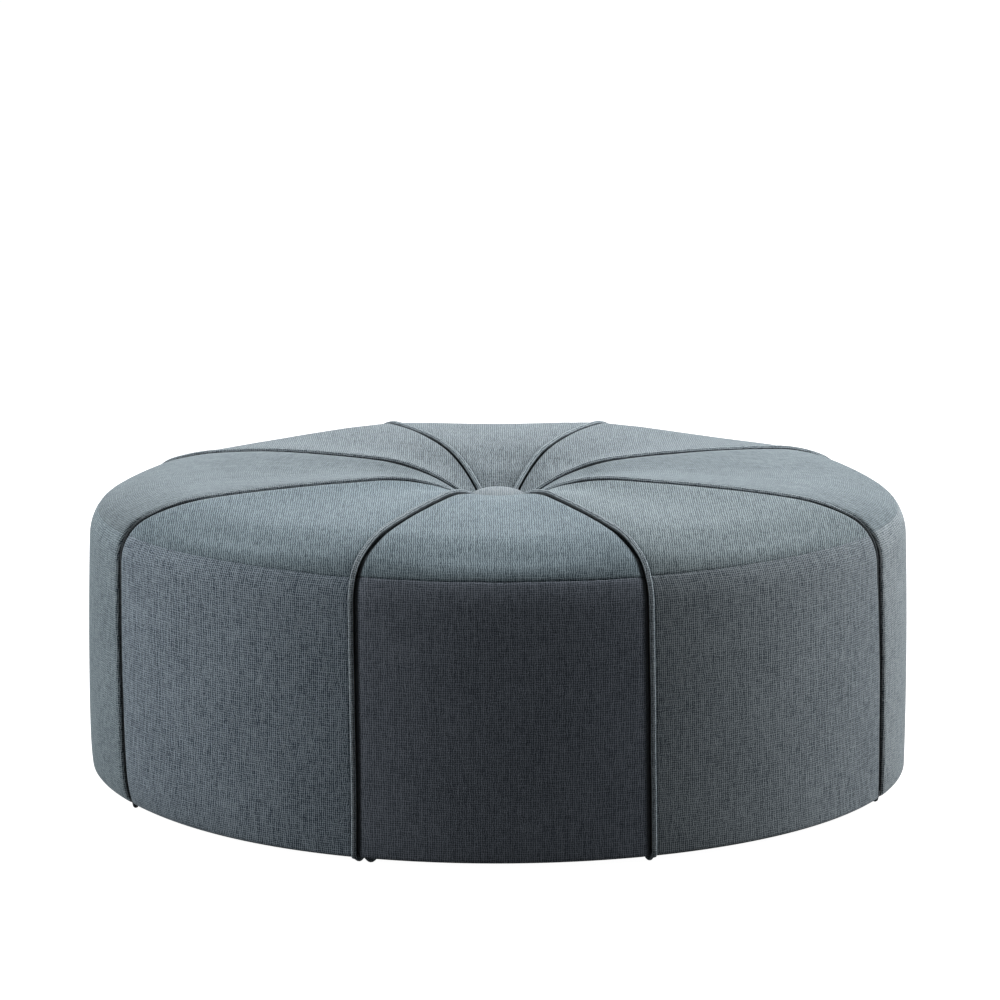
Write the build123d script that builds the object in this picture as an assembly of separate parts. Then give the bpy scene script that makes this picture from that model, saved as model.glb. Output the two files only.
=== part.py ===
"""Oval upholstered ottoman: timber frame, foam, panelled cloth cover with welts, and a centre button.

Frame of the part: millimetres, +Z up, +X along the long axis, -Y towards the front.
The origin is on the floor, under the middle of the ottoman.
"""

from build123d import *
import math
import os

# Overall sizes: across the cloth at the foot, and over the welts on top
length = 1219.2
width = 914.4
height = 457.2

# Clearances, and how far a cutting block runs past what it cuts
soft_gap = 0.3
hole_clearance = 0.2
overrun = 10.0

# Cover: cloth, welts and the seam round it
cloth = 1.6
welt_width = 7.0
welt_stand = 3.6
welt_step = 1.5
welt_turn_under = 21.0
seam_drop = 49.6
gather_radius = 12.0
cloth_turn_under = 56.0

# Section of the cover, from the foot up to the crown; tilts are in degrees from upright
floor_clearance = 8.0
foot_radius = 6.0
side_tilt = 2.9
shoulder_radius = 70.0
shoulder_tilt = 67.3
crest_radius = 257.0
crown_width = 191.0
crown_rise = 3.5

# Dimple under the button
dimple_rim_radius = 190.0
dimple_curve_radius = 253.0
dimple_depth = 57.0

# Flats that stand for each curve
panel_flats = 8
button_flats = 32
foot_flats = 2
side_flats = 2
shoulder_flats = 4
crest_flats = 3
crown_flats = 1
dimple_flats = 5
dome_flats = 4

# Button: a wooden disc and a foam pad inside a cloth cover
button_radius = 42.0
button_seat_radius = 34.0
button_edge_rise = 9.0
button_dome_rise = 13.5
button_cloth = 1.2
button_cloth_turn = 10.0
button_disc = 6.0

# Twine through the button, and the toggle that it is tied to
twine_radius = 1.5
twine_spacing = 14.0
twine_bend = 3.0
twine_hole_radius = 10.0
toggle_length = 60.0
toggle_section = 14.0
knot_radius = 4.0
knot_height = 5.0

# Frame
board = 15.0
frame_inset = 34.0
cushion_depth = 91.5
wall = 3.0
wall_joint_gap = 0.8
post_side = 45.0
post_setback = 1.6
rail_thickness = 18.0
rail_depth = 70.0
rail_end_gap = 75.0

# Underside
dust_cover = 1.0
dust_cover_inset = 24.0
glide_radius = 15.0
glide_sides = 16
glide_chamfer = 2.0
glide_inset = 40.0
nail_side = 2.6
nail_foot = 2.5
nail_bite = 12.0

# Staples that hold the boards to the posts
staple_wire = 1.6
staple_crown = 12.0
staple_leg = 45.0

# Eight panels of equal length round the foot, counted anticlockwise from the one at the right end;
# a welt starts each panel's far edge
PANEL_NAMES = ("right", "back_right", "back", "back_left", "left", "front_left", "front", "front_right")
WELT_NAMES = ("right_back", "back_right", "back_left", "left_back",
              "left_front", "front_left", "front_right", "right_front")
GLIDE_PANELS = ("right", "back_right", "back_left", "left", "front_left", "front_right")
WALL_JOINTS = ("right_back", "left_back", "left_front", "right_front")
PANELS = len(PANEL_NAMES)

half_length = length / 2
half_width = width / 2
crown_height = height - welt_stand
seam_height = crown_height - seam_drop
cover_bottom = floor_clearance + cloth
frame_top = crown_height - cushion_depth


def arc_rise(radius, start, end):
    """Height gained along an arc that turns from one tilt to another."""
    return radius * (math.sin(math.radians(end)) - math.sin(math.radians(start)))


crown_tilt = 90 - 2 * math.degrees(math.atan2(crown_rise, crown_width))
crown_radius = (crown_width ** 2 + crown_rise ** 2) / (2 * crown_rise)
shoulder_rise = arc_rise(shoulder_radius, side_tilt, shoulder_tilt)
crest_rise = arc_rise(crest_radius, shoulder_tilt, crown_tilt)
side_rise = crown_height - floor_clearance - foot_radius - shoulder_rise - crest_rise - crown_rise
side_radius = side_rise / math.sin(math.radians(side_tilt))


# Places round the oval
def oval_edge(inset):
    """Edge of the oval that lies an inset inside the foot's outline."""
    return Edge.make_ellipse(half_length - inset, half_width - inset)


def welt_share(index):
    """Share of the oval's length, anticlockwise from the right end, at which a welt ends."""
    return (index + 1 / 2) / PANELS


def bearing(index):
    """Plan direction of a welt, in degrees, alike in every quarter of the oval."""
    near_end, near_middle = [oval_edge(0) @ welt_share(place) for place in (0, 1)]
    first = math.degrees(math.atan2(near_end.Y, near_end.X))
    second = math.degrees(math.atan2(near_middle.Y, near_middle.X))
    half_turns, place = divmod(index, PANELS // 2)
    return 180 * half_turns + (first, second, 180 - second, 180 - first)[place]


def inset_place(share, inset, setback):
    """Location on the floor, a setback inside an oval that is itself inset, turned to face outwards."""
    point = oval_edge(inset) @ share
    outward = Vector(point.X / (half_length - inset) ** 2, point.Y / (half_width - inset) ** 2, 0)
    turn = math.degrees(math.atan2(outward.Y, outward.X))
    return Location(point - outward.normalized() * setback, (0, 0, turn))


def oval_turns():
    """Ellipse angles, in radians, of the corners of the many-sided oval: a flat lies across each welt."""
    ends = [math.radians(bearing(index)) for index in range(-1, PANELS)]
    welts = [math.atan2(half_length * math.sin(end), half_width * math.cos(end)) for end in ends]
    turns = []
    for before, after in zip(welts, welts[1:]):
        step = (after - before) % (2 * math.pi) / panel_flats
        turns += [before + (flat + 1 / 2) * step for flat in range(panel_flats)]
    return turns


# Plain solids
def turned(section, turns, width_share):
    """Many-sided solid with level ends: a half section carried round the middle axis and narrowed."""
    rings = []
    for radius, rise in section:
        narrow = radius * width_share
        rings.append([(radius * math.cos(turn), narrow * math.sin(turn), rise) for turn in turns])
    outlines = [rings[0], rings[-1]]
    for low, high in zip(rings, rings[1:]):
        outlines += [(low[corner - 1], low[corner], high[corner], high[corner - 1]) for corner in range(len(turns))]
    return Solid(Shell([Face(Wire.make_polygon(outline)) for outline in outlines]))


def flats(arc, count):
    """Points that part an arc into equal flats, its start left out."""
    points = [arc @ (flat / count) for flat in range(1, count + 1)]
    return [(point.X, point.Y) for point in points]


def oval_block(inset, bottom, top):
    """Upright oval block between two heights, its wall an inset inside the foot's outline."""
    across = half_length - inset
    return turned([(across, bottom), (across, top)], OVAL_TURNS, (half_width - inset) / across)


def round_block(radius, bottom, top):
    """Upright cylinder on the middle axis between two heights."""
    return Pos(0, 0, bottom) * Cylinder(radius, top - bottom, align=(Align.CENTER, Align.CENTER, Align.MIN))


def group(pieces):
    """Separate pieces as one compound."""
    return Compound([piece.solid() for piece in pieces])


def without(piece, cutters):
    """The piece with each cutter taken from it."""
    for cutter in cutters:
        piece -= cutter
    return piece


# Cushion form: the foot's oval carried up the side, over the shoulder and into the dimple
def form(grow):
    """Everything inside the cover's outer face, with that face moved outwards by grow."""
    turn_in = (half_length - foot_radius, floor_clearance - grow)
    foot = JernArc(turn_in, (1, 0), foot_radius + grow, 90)
    side = JernArc(foot @ 1, (0, 1), side_radius + grow, side_tilt)
    shoulder = JernArc(side @ 1, side % 1, shoulder_radius + grow, shoulder_tilt - side_tilt)
    crest = JernArc(shoulder @ 1, shoulder % 1, crest_radius + grow, crown_tilt - shoulder_tilt)
    crown = JernArc(crest @ 1, crest % 1, crown_radius + grow, 90 - crown_tilt)
    section = [turn_in] + flats(foot, foot_flats) + flats(side, side_flats) + flats(shoulder, shoulder_flats)
    section += flats(crest, crest_flats) + flats(crown, crown_flats)
    drum = turned(section, OVAL_TURNS, (half_width + grow) / (half_length + grow))

    rim = (dimple_rim_radius, crown_height + grow)
    dip = JernArc(rim, (-1, 0), dimple_curve_radius + grow, dimple_turn(grow))
    section = [(dimple_rim_radius, crown_height + overrun), rim] + flats(dip, dimple_flats)
    return drum - turned(section, OVAL_TURNS, 1)


def dimple_turn(grow):
    """Degrees that the dimple's arc turns, from its level rim down to the floor of the well."""
    return math.degrees(math.acos(1 - dimple_depth / (dimple_curve_radius + grow)))


def dimple_height(radius):
    """Height of the cover in the dimple at a distance from the middle."""
    run = dimple_rim_radius - radius
    return crown_height - dimple_curve_radius + math.sqrt(dimple_curve_radius ** 2 - run ** 2)


OVAL_TURNS = oval_turns()
outer = form(0)
inner = form(-cloth)
padding = form(-cloth - soft_gap)
gathering = round_block(gather_radius, 0, height)


# Glides
def nail(grow):
    """Square nail of a glide, up into the base board, grown by a clearance where it cuts its hole."""
    side = nail_side + 2 * grow
    total = cover_bottom + nail_bite - nail_foot + 2 * grow
    shank = Box(side, side, total, align=(Align.CENTER, Align.CENTER, Align.MIN))
    return Pos(0, 0, nail_foot - grow) * shank


def glide():
    """Plastic glide with a chamfered foot, moulded round its nail."""
    disc = extrude(RegularPolygon(glide_radius, glide_sides), floor_clearance - dust_cover)
    return chamfer(disc.edges().group_by(Axis.Z)[0], glide_chamfer) - nail(hole_clearance)


def glide_place(name):
    """Location on the floor of the glide under the middle of a panel."""
    return inset_place(PANEL_NAMES.index(name) / PANELS, 0, glide_inset)


glide_places = [glide_place(name) for name in GLIDE_PANELS]
nail_holes = [place * nail(hole_clearance) for place in glide_places]


# Frame
def post_place(index):
    """Location on the floor of the middle of the post inside a welt's foot."""
    return inset_place(welt_share(index), frame_inset, post_setback + post_side / 2)


def staple(grow):
    """Staple that stands on its crown, grown by a clearance where it cuts its holes."""
    thick = staple_wire + 2 * grow
    bottom = (Align.CENTER, Align.CENTER, Align.MIN)
    shape = Box(thick, staple_crown + 2 * grow, staple_wire + grow, align=bottom)
    for side in (-1, 1):
        across = side * (staple_crown - staple_wire) / 2
        shape += Pos(0, across, 0) * Box(thick, thick, staple_leg + grow, align=bottom)
    return shape


def base_staples(grow):
    """Staples up through the base board, one into each post."""
    return [post_place(index) * Pos(0, 0, cover_bottom) * staple(grow) for index in range(PANELS)]


def top_staples(grow):
    """Staples down through the top board, one into each post."""
    over = Pos(0, 0, frame_top) * Rot(180, 0, 0)
    return [post_place(index) * over * staple(grow) for index in range(PANELS)]


base_staple_holes = base_staples(hole_clearance)
top_staple_holes = top_staples(hole_clearance)


def post(index):
    """Square post between the boards, with the holes of its two staples."""
    rise = frame_top - 2 * board - cover_bottom
    block = Box(post_side, post_side, rise, align=(Align.CENTER, Align.CENTER, Align.MIN))
    block = post_place(index) * Pos(0, 0, cover_bottom + board) * block
    return block - base_staple_holes[index] - top_staple_holes[index]


def base_board():
    """Oval base board, with the holes of the staples and of the glides' nails."""
    return without(oval_block(frame_inset, cover_bottom, cover_bottom + board), base_staple_holes + nail_holes)


def top_board():
    """Oval top board, with the holes of the staples and of the twine."""
    blank = oval_block(frame_inset, frame_top - board, frame_top)
    return without(blank, top_staple_holes) - round_block(twine_hole_radius, 0, height)


def top_rail(side):
    """Rail on edge under the top board, from front to back, with its ends clear of the posts."""
    corner = oval_edge(frame_inset) @ welt_share(1)
    rail = Box(rail_thickness, 2 * (abs(corner.Y) - rail_end_gap), rail_depth,
               align=(Align.CENTER, Align.CENTER, Align.MAX))
    return Pos(side * abs(corner.X), 0, frame_top - board) * rail


def wall_lengths():
    """Bent hardboard round the edges of the boards, cut at the posts next to the ends of the oval."""
    outside = frame_inset - soft_gap - wall
    ring = oval_block(outside, cover_bottom, frame_top) - oval_block(frame_inset - soft_gap, 0, height)
    for name in WALL_JOINTS:
        joint = Box(length, wall_joint_gap, height, align=(Align.MIN, Align.CENTER, Align.MIN))
        ring -= Rot(0, 0, bearing(WELT_NAMES.index(name))) * joint
    along_x = ring.solids().sort_by(Axis.X)
    along_y = ring.solids().sort_by(Axis.Y)
    return {"right": along_x[-1], "back": along_y[-1], "left": along_x[0], "front": along_y[0]}


# Foam
def side_foam(side):
    """Front or back half of the foam round the hardboard, from the round of the foot to the top board."""
    ring = padding & oval_block(-overrun, floor_clearance + foot_radius, frame_top)
    ring = ring - oval_block(frame_inset - 2 * soft_gap - wall, 0, height)
    half = Box(2 * length, length, height, align=(Align.CENTER, Align.MIN, Align.MIN))
    return ring & (Rot(0, 0, 90 - 90 * side) * half)


def top_foam():
    """Crowned foam cushion on the top board, tufted at its middle and pierced for the twine."""
    return padding - oval_block(-overrun, 0, frame_top) - round_block(twine_hole_radius, 0, height)


# Cover
def wedge(index):
    """Upright block over one panel, between the flanks of the welts at its two edges."""
    after = math.radians(bearing(index))
    before = math.radians(bearing(index - 1))
    tip = welt_width / 2 / math.sin((after - before) / 2)
    middle = (after + before) / 2
    corner = Vector(tip * math.cos(middle), tip * math.sin(middle), 0)
    right = corner + Vector(length * math.cos(before), length * math.sin(before), 0)
    left = corner + Vector(length * math.cos(after), length * math.sin(after), 0)
    return extrude(make_face(Polyline(corner, right, left, close=True)), height)


def welt_ring(stand):
    """Cover and what stands proud of it by a welt's height, level with the cloth under the button."""
    under_button = round_block(button_radius + soft_gap, 0, height + overrun)
    ring = form(stand) - under_button + (outer & under_button)
    return ring - inner - gathering - oval_block(welt_turn_under, -overrun, cover_bottom)


def welt(rings, index):
    """One welt: its full width to one height, and a narrower strip above that for the round of the cord."""
    strips = []
    for across, ring in zip((welt_width, welt_width - 2 * welt_step), rings):
        slab = Box(length, across, height + 2 * overrun, align=(Align.MIN, Align.CENTER, Align.CENTER))
        strips.append(ring & (Rot(0, 0, bearing(index)) * Pos(0, 0, height / 2) * slab))
    return strips[0] + strips[1]


# Button, twine and toggle
button_back_z = dimple_height(button_seat_radius) + soft_gap
button_edge_z = button_back_z + button_edge_rise
button_top_z = button_edge_z + button_dome_rise
disc_top_z = button_back_z + button_cloth + button_disc
toggle_top_z = frame_top - board
knot_top_z = toggle_top_z - toggle_section


def button_form(inset):
    """Everything inside the button's outer face, with that face moved inwards by inset."""
    seat = (button_seat_radius - inset, button_back_z + inset)
    dome = TangentArc((0, button_top_z - inset), (button_radius - inset, button_edge_z), tangent=(1, 0))
    turns = [2 * math.pi * corner / button_flats for corner in range(button_flats)]
    return turned([seat] + flats(dome, dome_flats)[::-1], turns, 1)


def button_cover():
    """Cloth over the button, turned under its back."""
    back_opening = round_block(button_seat_radius - button_cloth_turn, 0, button_back_z + button_cloth)
    return button_form(0) - button_form(button_cloth) - back_opening


def twine_legs(radius, bottom, top):
    """Upright six-sided legs at the two runs of the twine."""
    leg = Pos(0, 0, bottom) * extrude(RegularPolygon(radius, 6), top - bottom)
    return [Pos(side * twine_spacing / 2, 0, 0) * leg for side in (-1, 1)]


def button_core():
    """What the button's cloth is drawn over."""
    return button_form(button_cloth + soft_gap) - round_block(button_radius, 0, button_back_z + button_cloth)


def disc():
    """Wooden disc at the button's back, with two holes and a groove between them for the twine."""
    core = button_core() - round_block(button_radius, disc_top_z, height)
    groove_width = 2 * (twine_radius + hole_clearance)
    groove = Box(twine_spacing, groove_width, groove_width / 2, align=(Align.CENTER, Align.CENTER, Align.MAX))
    return core - Pos(0, 0, disc_top_z) * groove - strand(hole_clearance)


def pad():
    """Foam pad between the disc and the cloth."""
    return button_core() - round_block(button_radius, 0, disc_top_z)


def strand(grow):
    """Six-sided strand over the disc and down on both sides, grown by a clearance where it cuts a hole."""
    low = knot_top_z - knot_height / 2
    high = disc_top_z - twine_radius - hole_clearance
    x = twine_spacing / 2
    rising = [(-x, 0, low), (-x, 0, high - twine_bend), (twine_bend - x, 0, high)]
    falling = [(x - twine_bend, 0, high), (x, 0, high - twine_bend), (x, 0, low)]
    route = Polyline(*rising, *falling)
    section = Plane(origin=route @ 0, z_dir=route % 0) * RegularPolygon(twine_radius + grow, 6)
    return sweep(section, path=route, transition=Transition.RIGHT)


def twine():
    """Twine over the disc and down through the foam, the top board and the toggle, knotted below it."""
    left_knot, right_knot = twine_legs(knot_radius, knot_top_z - knot_height, knot_top_z)
    return strand(0) + left_knot + right_knot


def toggle():
    """Wooden bar under the top board that the twine is tied through."""
    bar = Box(toggle_length, toggle_section, toggle_section, align=(Align.CENTER, Align.CENTER, Align.MAX))
    return without(Pos(0, 0, toggle_top_z) * bar, twine_legs(twine_radius + hole_clearance, 0, height))


def cover_parts():
    """Top gores, side panels and welts of the cover."""
    skin = outer - inner - oval_block(cloth_turn_under, 0, frame_top) - gathering
    below_seam = oval_block(-overrun, 0, seam_height) - round_block(dimple_rim_radius, 0, height)
    side_skin = without(skin & below_seam, nail_holes)
    top_skin = skin - below_seam
    rings = [welt_ring(welt_stand - welt_step), welt_ring(welt_stand)]
    pieces = {}
    for index in range(PANELS):
        pieces["top_gore_" + PANEL_NAMES[index]] = top_skin & wedge(index)
        pieces["side_panel_" + PANEL_NAMES[index]] = side_skin & wedge(index)
        pieces["welt_" + WELT_NAMES[index]] = welt(rings, index)
    return pieces


def frame_parts():
    """Boards, posts, rails, hardboard and staples."""
    pieces = {"base_board": base_board(), "top_board": top_board(),
              "top_rail_left": top_rail(-1), "top_rail_right": top_rail(1)}
    for name, piece in wall_lengths().items():
        pieces["wall_" + name] = piece
    for index, name in enumerate(WELT_NAMES):
        pieces["post_" + name] = post(index)
    pieces["base_staples"] = group(base_staples(0))
    pieces["top_staples"] = group(top_staples(0))
    return pieces


def foot_parts():
    """Glides, their nails and the dust cover."""
    cover = oval_block(dust_cover_inset, floor_clearance - dust_cover, floor_clearance)
    return {"dust_cover": without(cover, nail_holes),
            "glides": group([place * glide() for place in glide_places]),
            "glide_nails": group([place * nail(0) for place in glide_places])}


def cushion_parts():
    """Foam, button, twine and toggle."""
    return {"top_foam": top_foam(), "side_foam_front": side_foam(-1), "side_foam_back": side_foam(1),
            "button_cover": button_cover(), "button_disc": disc(), "button_pad": pad(),
            "tufting_twine": twine(), "twine_toggle": toggle()}


os.makedirs("parts", exist_ok=True)
ottoman = foot_parts() | frame_parts() | cushion_parts() | cover_parts()
for name, piece in ottoman.items():
    export_step(piece, os.path.join("parts", name + ".step"))
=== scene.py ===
"""Looks of the oval upholstered ottoman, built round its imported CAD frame.

Metres, +Z up, +X along the long axis, -Y towards the front, origin on the floor under the middle.
The cloth cover is swelled by a cloth simulation, and everything else sits where the CAD says.
"""

import logging
import math
from dataclasses import dataclass, field
from enum import Enum

import bmesh
import bpy
import numpy as np
from mathutils import Matrix, Vector


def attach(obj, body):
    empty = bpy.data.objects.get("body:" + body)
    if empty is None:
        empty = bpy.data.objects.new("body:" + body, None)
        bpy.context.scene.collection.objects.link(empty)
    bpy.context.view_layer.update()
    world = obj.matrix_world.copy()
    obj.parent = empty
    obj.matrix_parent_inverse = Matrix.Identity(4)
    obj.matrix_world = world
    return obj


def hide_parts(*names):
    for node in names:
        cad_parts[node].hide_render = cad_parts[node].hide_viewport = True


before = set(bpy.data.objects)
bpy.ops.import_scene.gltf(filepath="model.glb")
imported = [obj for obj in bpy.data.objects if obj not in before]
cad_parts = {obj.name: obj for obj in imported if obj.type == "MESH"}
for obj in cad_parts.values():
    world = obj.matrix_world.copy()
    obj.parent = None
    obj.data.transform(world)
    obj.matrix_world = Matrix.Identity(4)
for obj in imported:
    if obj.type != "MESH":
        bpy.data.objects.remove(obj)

MM = 0.001
NEAR = 0.01  # radians between two points that give a slope round the plan
log = logging.getLogger("ottoman")


class Panel(Enum):
    """The eight panels, counted anticlockwise from the right end."""

    RIGHT = 0
    BACK_RIGHT = 1
    BACK = 2
    BACK_LEFT = 3
    LEFT = 4
    FRONT_LEFT = 5
    FRONT = 6
    FRONT_RIGHT = 7


class Welt(Enum):
    """The eight welts; each lies at the anticlockwise edge of the panel of the same number."""

    RIGHT_BACK = 0
    BACK_RIGHT = 1
    BACK_LEFT = 2
    LEFT_BACK = 3
    LEFT_FRONT = 4
    FRONT_LEFT = 5
    FRONT_RIGHT = 6
    RIGHT_FRONT = 7


def linear(code: str) -> tuple:
    """Turns an sRGB hex colour into linear RGBA.

    Args:
        code: Six hex digits.

    Returns:
        Red, green, blue and alpha.
    """
    shares = [int(code[at:at + 2], 16) / 255 for at in (0, 2, 4)]
    rgb = [s / 12.92 if s <= 0.04045 else ((s + 0.055) / 1.055) ** 2.4 for s in shares]
    return (*rgb, 1.0)


def put(tree: bpy.types.NodeTree, kind: str, links: dict | None = None, **settings) -> bpy.types.Node:
    """Adds a node with its settings, input values and links.

    Args:
        tree: Node tree to add to.
        kind: Type name of the node.
        links: Input name or number, with the value or the output socket that it takes.
        settings: Properties of the node.

    Returns:
        The new node.
    """
    node = tree.nodes.new(kind)
    for name, value in settings.items():
        setattr(node, name, value)
    for name, value in (links or {}).items():
        if isinstance(value, bpy.types.NodeSocket):
            tree.links.new(value, node.inputs[name])
        else:
            node.inputs[name].default_value = value
    return node


def mesh_object(name: str, points: np.ndarray, faces: list, smooth: bool = True,
                closed: bool = True) -> bpy.types.Object:
    """Makes a mesh object from points and faces.

    Args:
        name: Name of the piece.
        points: One row of coordinates for each vertex.
        faces: Tuples of vertex numbers.
        smooth: Whether the faces are shaded smooth.
        closed: Whether it is a closed solid, whose faces are turned outwards.

    Returns:
        The new object, at the origin.
    """
    mesh = bpy.data.meshes.new(name)
    mesh.from_pydata([tuple(map(float, p)) for p in points], [], faces)
    mesh.update()
    mesh.shade_smooth() if smooth else mesh.shade_flat()
    piece = bpy.data.objects.new(name, mesh)
    bpy.context.scene.collection.objects.link(piece)
    if closed:
        outwards(piece)
    return piece


def outwards(piece: bpy.types.Object) -> None:
    """Turns the faces of a closed piece outwards.

    Args:
        piece: The piece.
    """
    shape = bmesh.new()
    shape.from_mesh(piece.data)
    bmesh.ops.recalc_face_normals(shape, faces=shape.faces)
    shape.to_mesh(piece.data)
    shape.free()


def paint(piece: bpy.types.Object, material: bpy.types.Material) -> None:
    """Gives a piece one material."""
    piece.data.materials.clear()
    piece.data.materials.append(material)


def fit(piece: bpy.types.Object, slot: str, *nodes: str) -> None:
    """Makes a piece ride on the body and stand for CAD nodes.

    Args:
        piece: The finished piece.
        slot: Name of a material slot; not used.
        nodes: CAD nodes that it replaces.
    """
    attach(piece, "root")
    if nodes:
        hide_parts(*nodes)
    log.info("%s: %d faces", piece.name, len(piece.data.polygons))


def ease(share: np.ndarray) -> np.ndarray:
    """Smooth step from 0 at a share of 0 to 1 at a share of 1."""
    held = np.clip(share, 0, 1)
    return held * held * (3 - 2 * held)


def bell(away: np.ndarray, reach: float, power: int = 2) -> np.ndarray:
    """Bell curve that is 1 in the middle and 0.37 at its reach."""
    return np.exp(-(away / reach) ** power)


def turned(turns: np.ndarray, angle: float) -> np.ndarray:
    """Ellipse angles measured from a given angle."""
    return np.mod(turns, 2 * math.pi) - angle


def oval_ring(turns: np.ndarray, long: float, wide: float, height: float) -> np.ndarray:
    """Oval ring of points at a height, with its half length and half width."""
    return np.stack([long * np.cos(turns), wide * np.sin(turns), 0 * turns + height], axis=1)


# Shape of the cover
@dataclass
class Cover:
    """The cover's section and plan, in metres, as the CAD has them but for a slightly lower crown edge."""

    length: float = 1219.2 * MM
    width: float = 914.4 * MM
    crown_height: float = 453.6 * MM
    floor_clearance: float = 8.0 * MM
    turn_under: float = 56.0 * MM
    foot_radius: float = 6.0 * MM
    side_tilt: float = 2.9
    shoulder_radius: float = 70.0 * MM
    shoulder_tilt: float = 67.3
    crest_radius: float = 257.0 * MM
    crown_width: float = 191.0 * MM
    crown_rise: float = 6.5 * MM
    rim_radius: float = 190.0 * MM
    dip_radius: float = 253.0 * MM
    dip_depth: float = 57.0 * MM
    gather_radius: float = 12.0 * MM
    seam_height: float = 404.0 * MM
    step: float = 2.0 * MM
    foot_steps: int = 20
    level_steps: int = 40
    dip_steps: int = 90
    well_steps: int = 10

    def __post_init__(self) -> None:
        """Works out the section, the welts' places and the lengths at which the section changes."""
        self.path = self.section()
        lengths = np.hypot(*np.diff(self.path[:, :2], axis=0).T)
        self.along = np.concatenate([[0.0], np.cumsum(lengths)])
        self.welt_turns = self.turns_of_welts()
        self.end = float(self.along[-1])
        self.rim = float(self.along[np.nonzero(self.path[:, 2] == 0)[0][0]])
        self.foot = self.turn_under - self.foot_radius
        self.seam = self.place_of(self.seam_height)

    def section(self) -> np.ndarray:
        """Follows the section from the turned-under edge to the well under the button.

        Returns:
            Rows of distance from the axis at the long end, height, and share of oval in the plan.
        """
        crown_tilt = 90 - 2 * math.degrees(math.atan2(self.crown_rise, self.crown_width))
        crown_radius = (self.crown_width ** 2 + self.crown_rise ** 2) / (2 * self.crown_rise)

        def rise(radius: float, start: float, end: float) -> float:
            """Height gained along an arc between two tilts."""
            return radius * (math.sin(math.radians(end)) - math.sin(math.radians(start)))

        side_rise = self.crown_height - self.floor_clearance - self.foot_radius - self.crown_rise
        side_rise -= rise(self.shoulder_radius, self.side_tilt, self.shoulder_tilt)
        side_rise -= rise(self.crest_radius, self.shoulder_tilt, crown_tilt)
        side_radius = side_rise / math.sin(math.radians(self.side_tilt))
        x = self.length / 2 - self.turn_under
        foot_start = self.length / 2 - self.foot_radius
        count = self.foot_steps
        rows = [(x + (foot_start - x) * n / count, self.floor_clearance, 1.0) for n in range(count + 1)]
        arcs = ((self.foot_radius, -90, 0), (side_radius, 0, self.side_tilt),
                (self.shoulder_radius, self.side_tilt, self.shoulder_tilt),
                (self.crest_radius, self.shoulder_tilt, crown_tilt), (crown_radius, crown_tilt, 90))
        for radius, start, end in arcs:
            x, z, _ = rows[-1]
            count = max(8, round(radius * math.radians(end - start) / self.step))
            for n in range(1, count + 1):
                a, b = math.radians(start), math.radians(start + (end - start) * n / count)
                rows.append((x - radius * (math.cos(a) - math.cos(b)),
                             z + radius * (math.sin(b) - math.sin(a)), 1.0))
        x, z, _ = rows[-1]
        count = self.level_steps
        rows += [(x + (self.rim_radius - x) * n / count, z, 1 - n / count) for n in range(1, count + 1)]
        turn = math.acos(1 - self.dip_depth / self.dip_radius)
        for n in range(1, self.dip_steps + 1):
            a = turn * n / self.dip_steps
            rows.append((self.rim_radius - self.dip_radius * math.sin(a),
                         z - self.dip_radius * (1 - math.cos(a)), 0.0))
        x, z, _ = rows[-1]
        count = self.well_steps
        rows += [(x + (self.gather_radius - x) * n / count, z, 0.0) for n in range(1, count + 1)]
        return np.array(rows)

    def turns_of_welts(self) -> list:
        """Finds the ellipse angles that part the foot into eight equal lengths.

        Returns:
            Nine angles, from the welt before the right panel to the one after the last.
        """
        turns = np.linspace(0, 2 * math.pi, 72001)
        edge = np.stack([self.length / 2 * np.cos(turns), self.width / 2 * np.sin(turns)], axis=1)
        along = np.concatenate([[0.0], np.cumsum(np.hypot(*np.diff(edge, axis=0).T))])
        shares = [(n + 0.5) / len(Panel) for n in range(len(Panel))]
        found = list(np.interp(np.array(shares) * along[-1], along, turns))
        return [found[-1] - 2 * math.pi] + found

    def at(self, turns: np.ndarray, places: np.ndarray) -> np.ndarray:
        """Gives points of the cover.

        Args:
            turns: Ellipse angles.
            places: Lengths along the section, of the same shape.

        Returns:
            Points, with the coordinates as the last axis.
        """
        x = np.interp(places, self.along, self.path[:, 0])
        z = np.interp(places, self.along, self.path[:, 1])
        oval = np.interp(places, self.along, self.path[:, 2])
        ratio = self.width / self.length
        oval_point = np.stack([np.cos(turns), ratio * np.sin(turns)], axis=-1)
        heading = oval_point / np.linalg.norm(oval_point, axis=-1, keepdims=True)
        reach = np.where(oval > 0, np.linalg.norm(oval_point, axis=-1), 1.0)
        wide = x * reach
        flat_reach = np.linalg.norm(oval_point, axis=-1) * self.flat_start()
        between = (oval > 0) & (oval < 1)
        wide = np.where(between, oval * flat_reach + (1 - oval) * self.rim_radius, wide)
        return np.concatenate([heading * wide[..., None], z[..., None]], axis=-1)

    def normals(self, turns: np.ndarray, places: np.ndarray) -> np.ndarray:
        """Finds the unit normals of the plain cover.

        Args:
            turns: Ellipse angles.
            places: Lengths along the section.

        Returns:
            Unit vectors out of the cover.
        """
        across = self.at(turns + NEAR, places) - self.at(turns - NEAR, places)
        up = self.at(turns, places + MM) - self.at(turns, places - MM)
        normal = np.cross(across, up)
        return normal / np.maximum(np.linalg.norm(normal, axis=-1, keepdims=True), 1e-12)

    def spread(self, turns: np.ndarray, places: np.ndarray) -> np.ndarray:
        """Metres round the cover for each radian of ellipse angle."""
        return np.linalg.norm(self.at(turns + NEAR, places) - self.at(turns, places), axis=-1) / NEAR

    def flat_start(self) -> float:
        """Distance from the axis, at the long end, where the crown turns level."""
        level = np.nonzero(self.path[:, 2] < 1)[0][0]
        return float(self.path[level - 1, 0])

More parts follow.
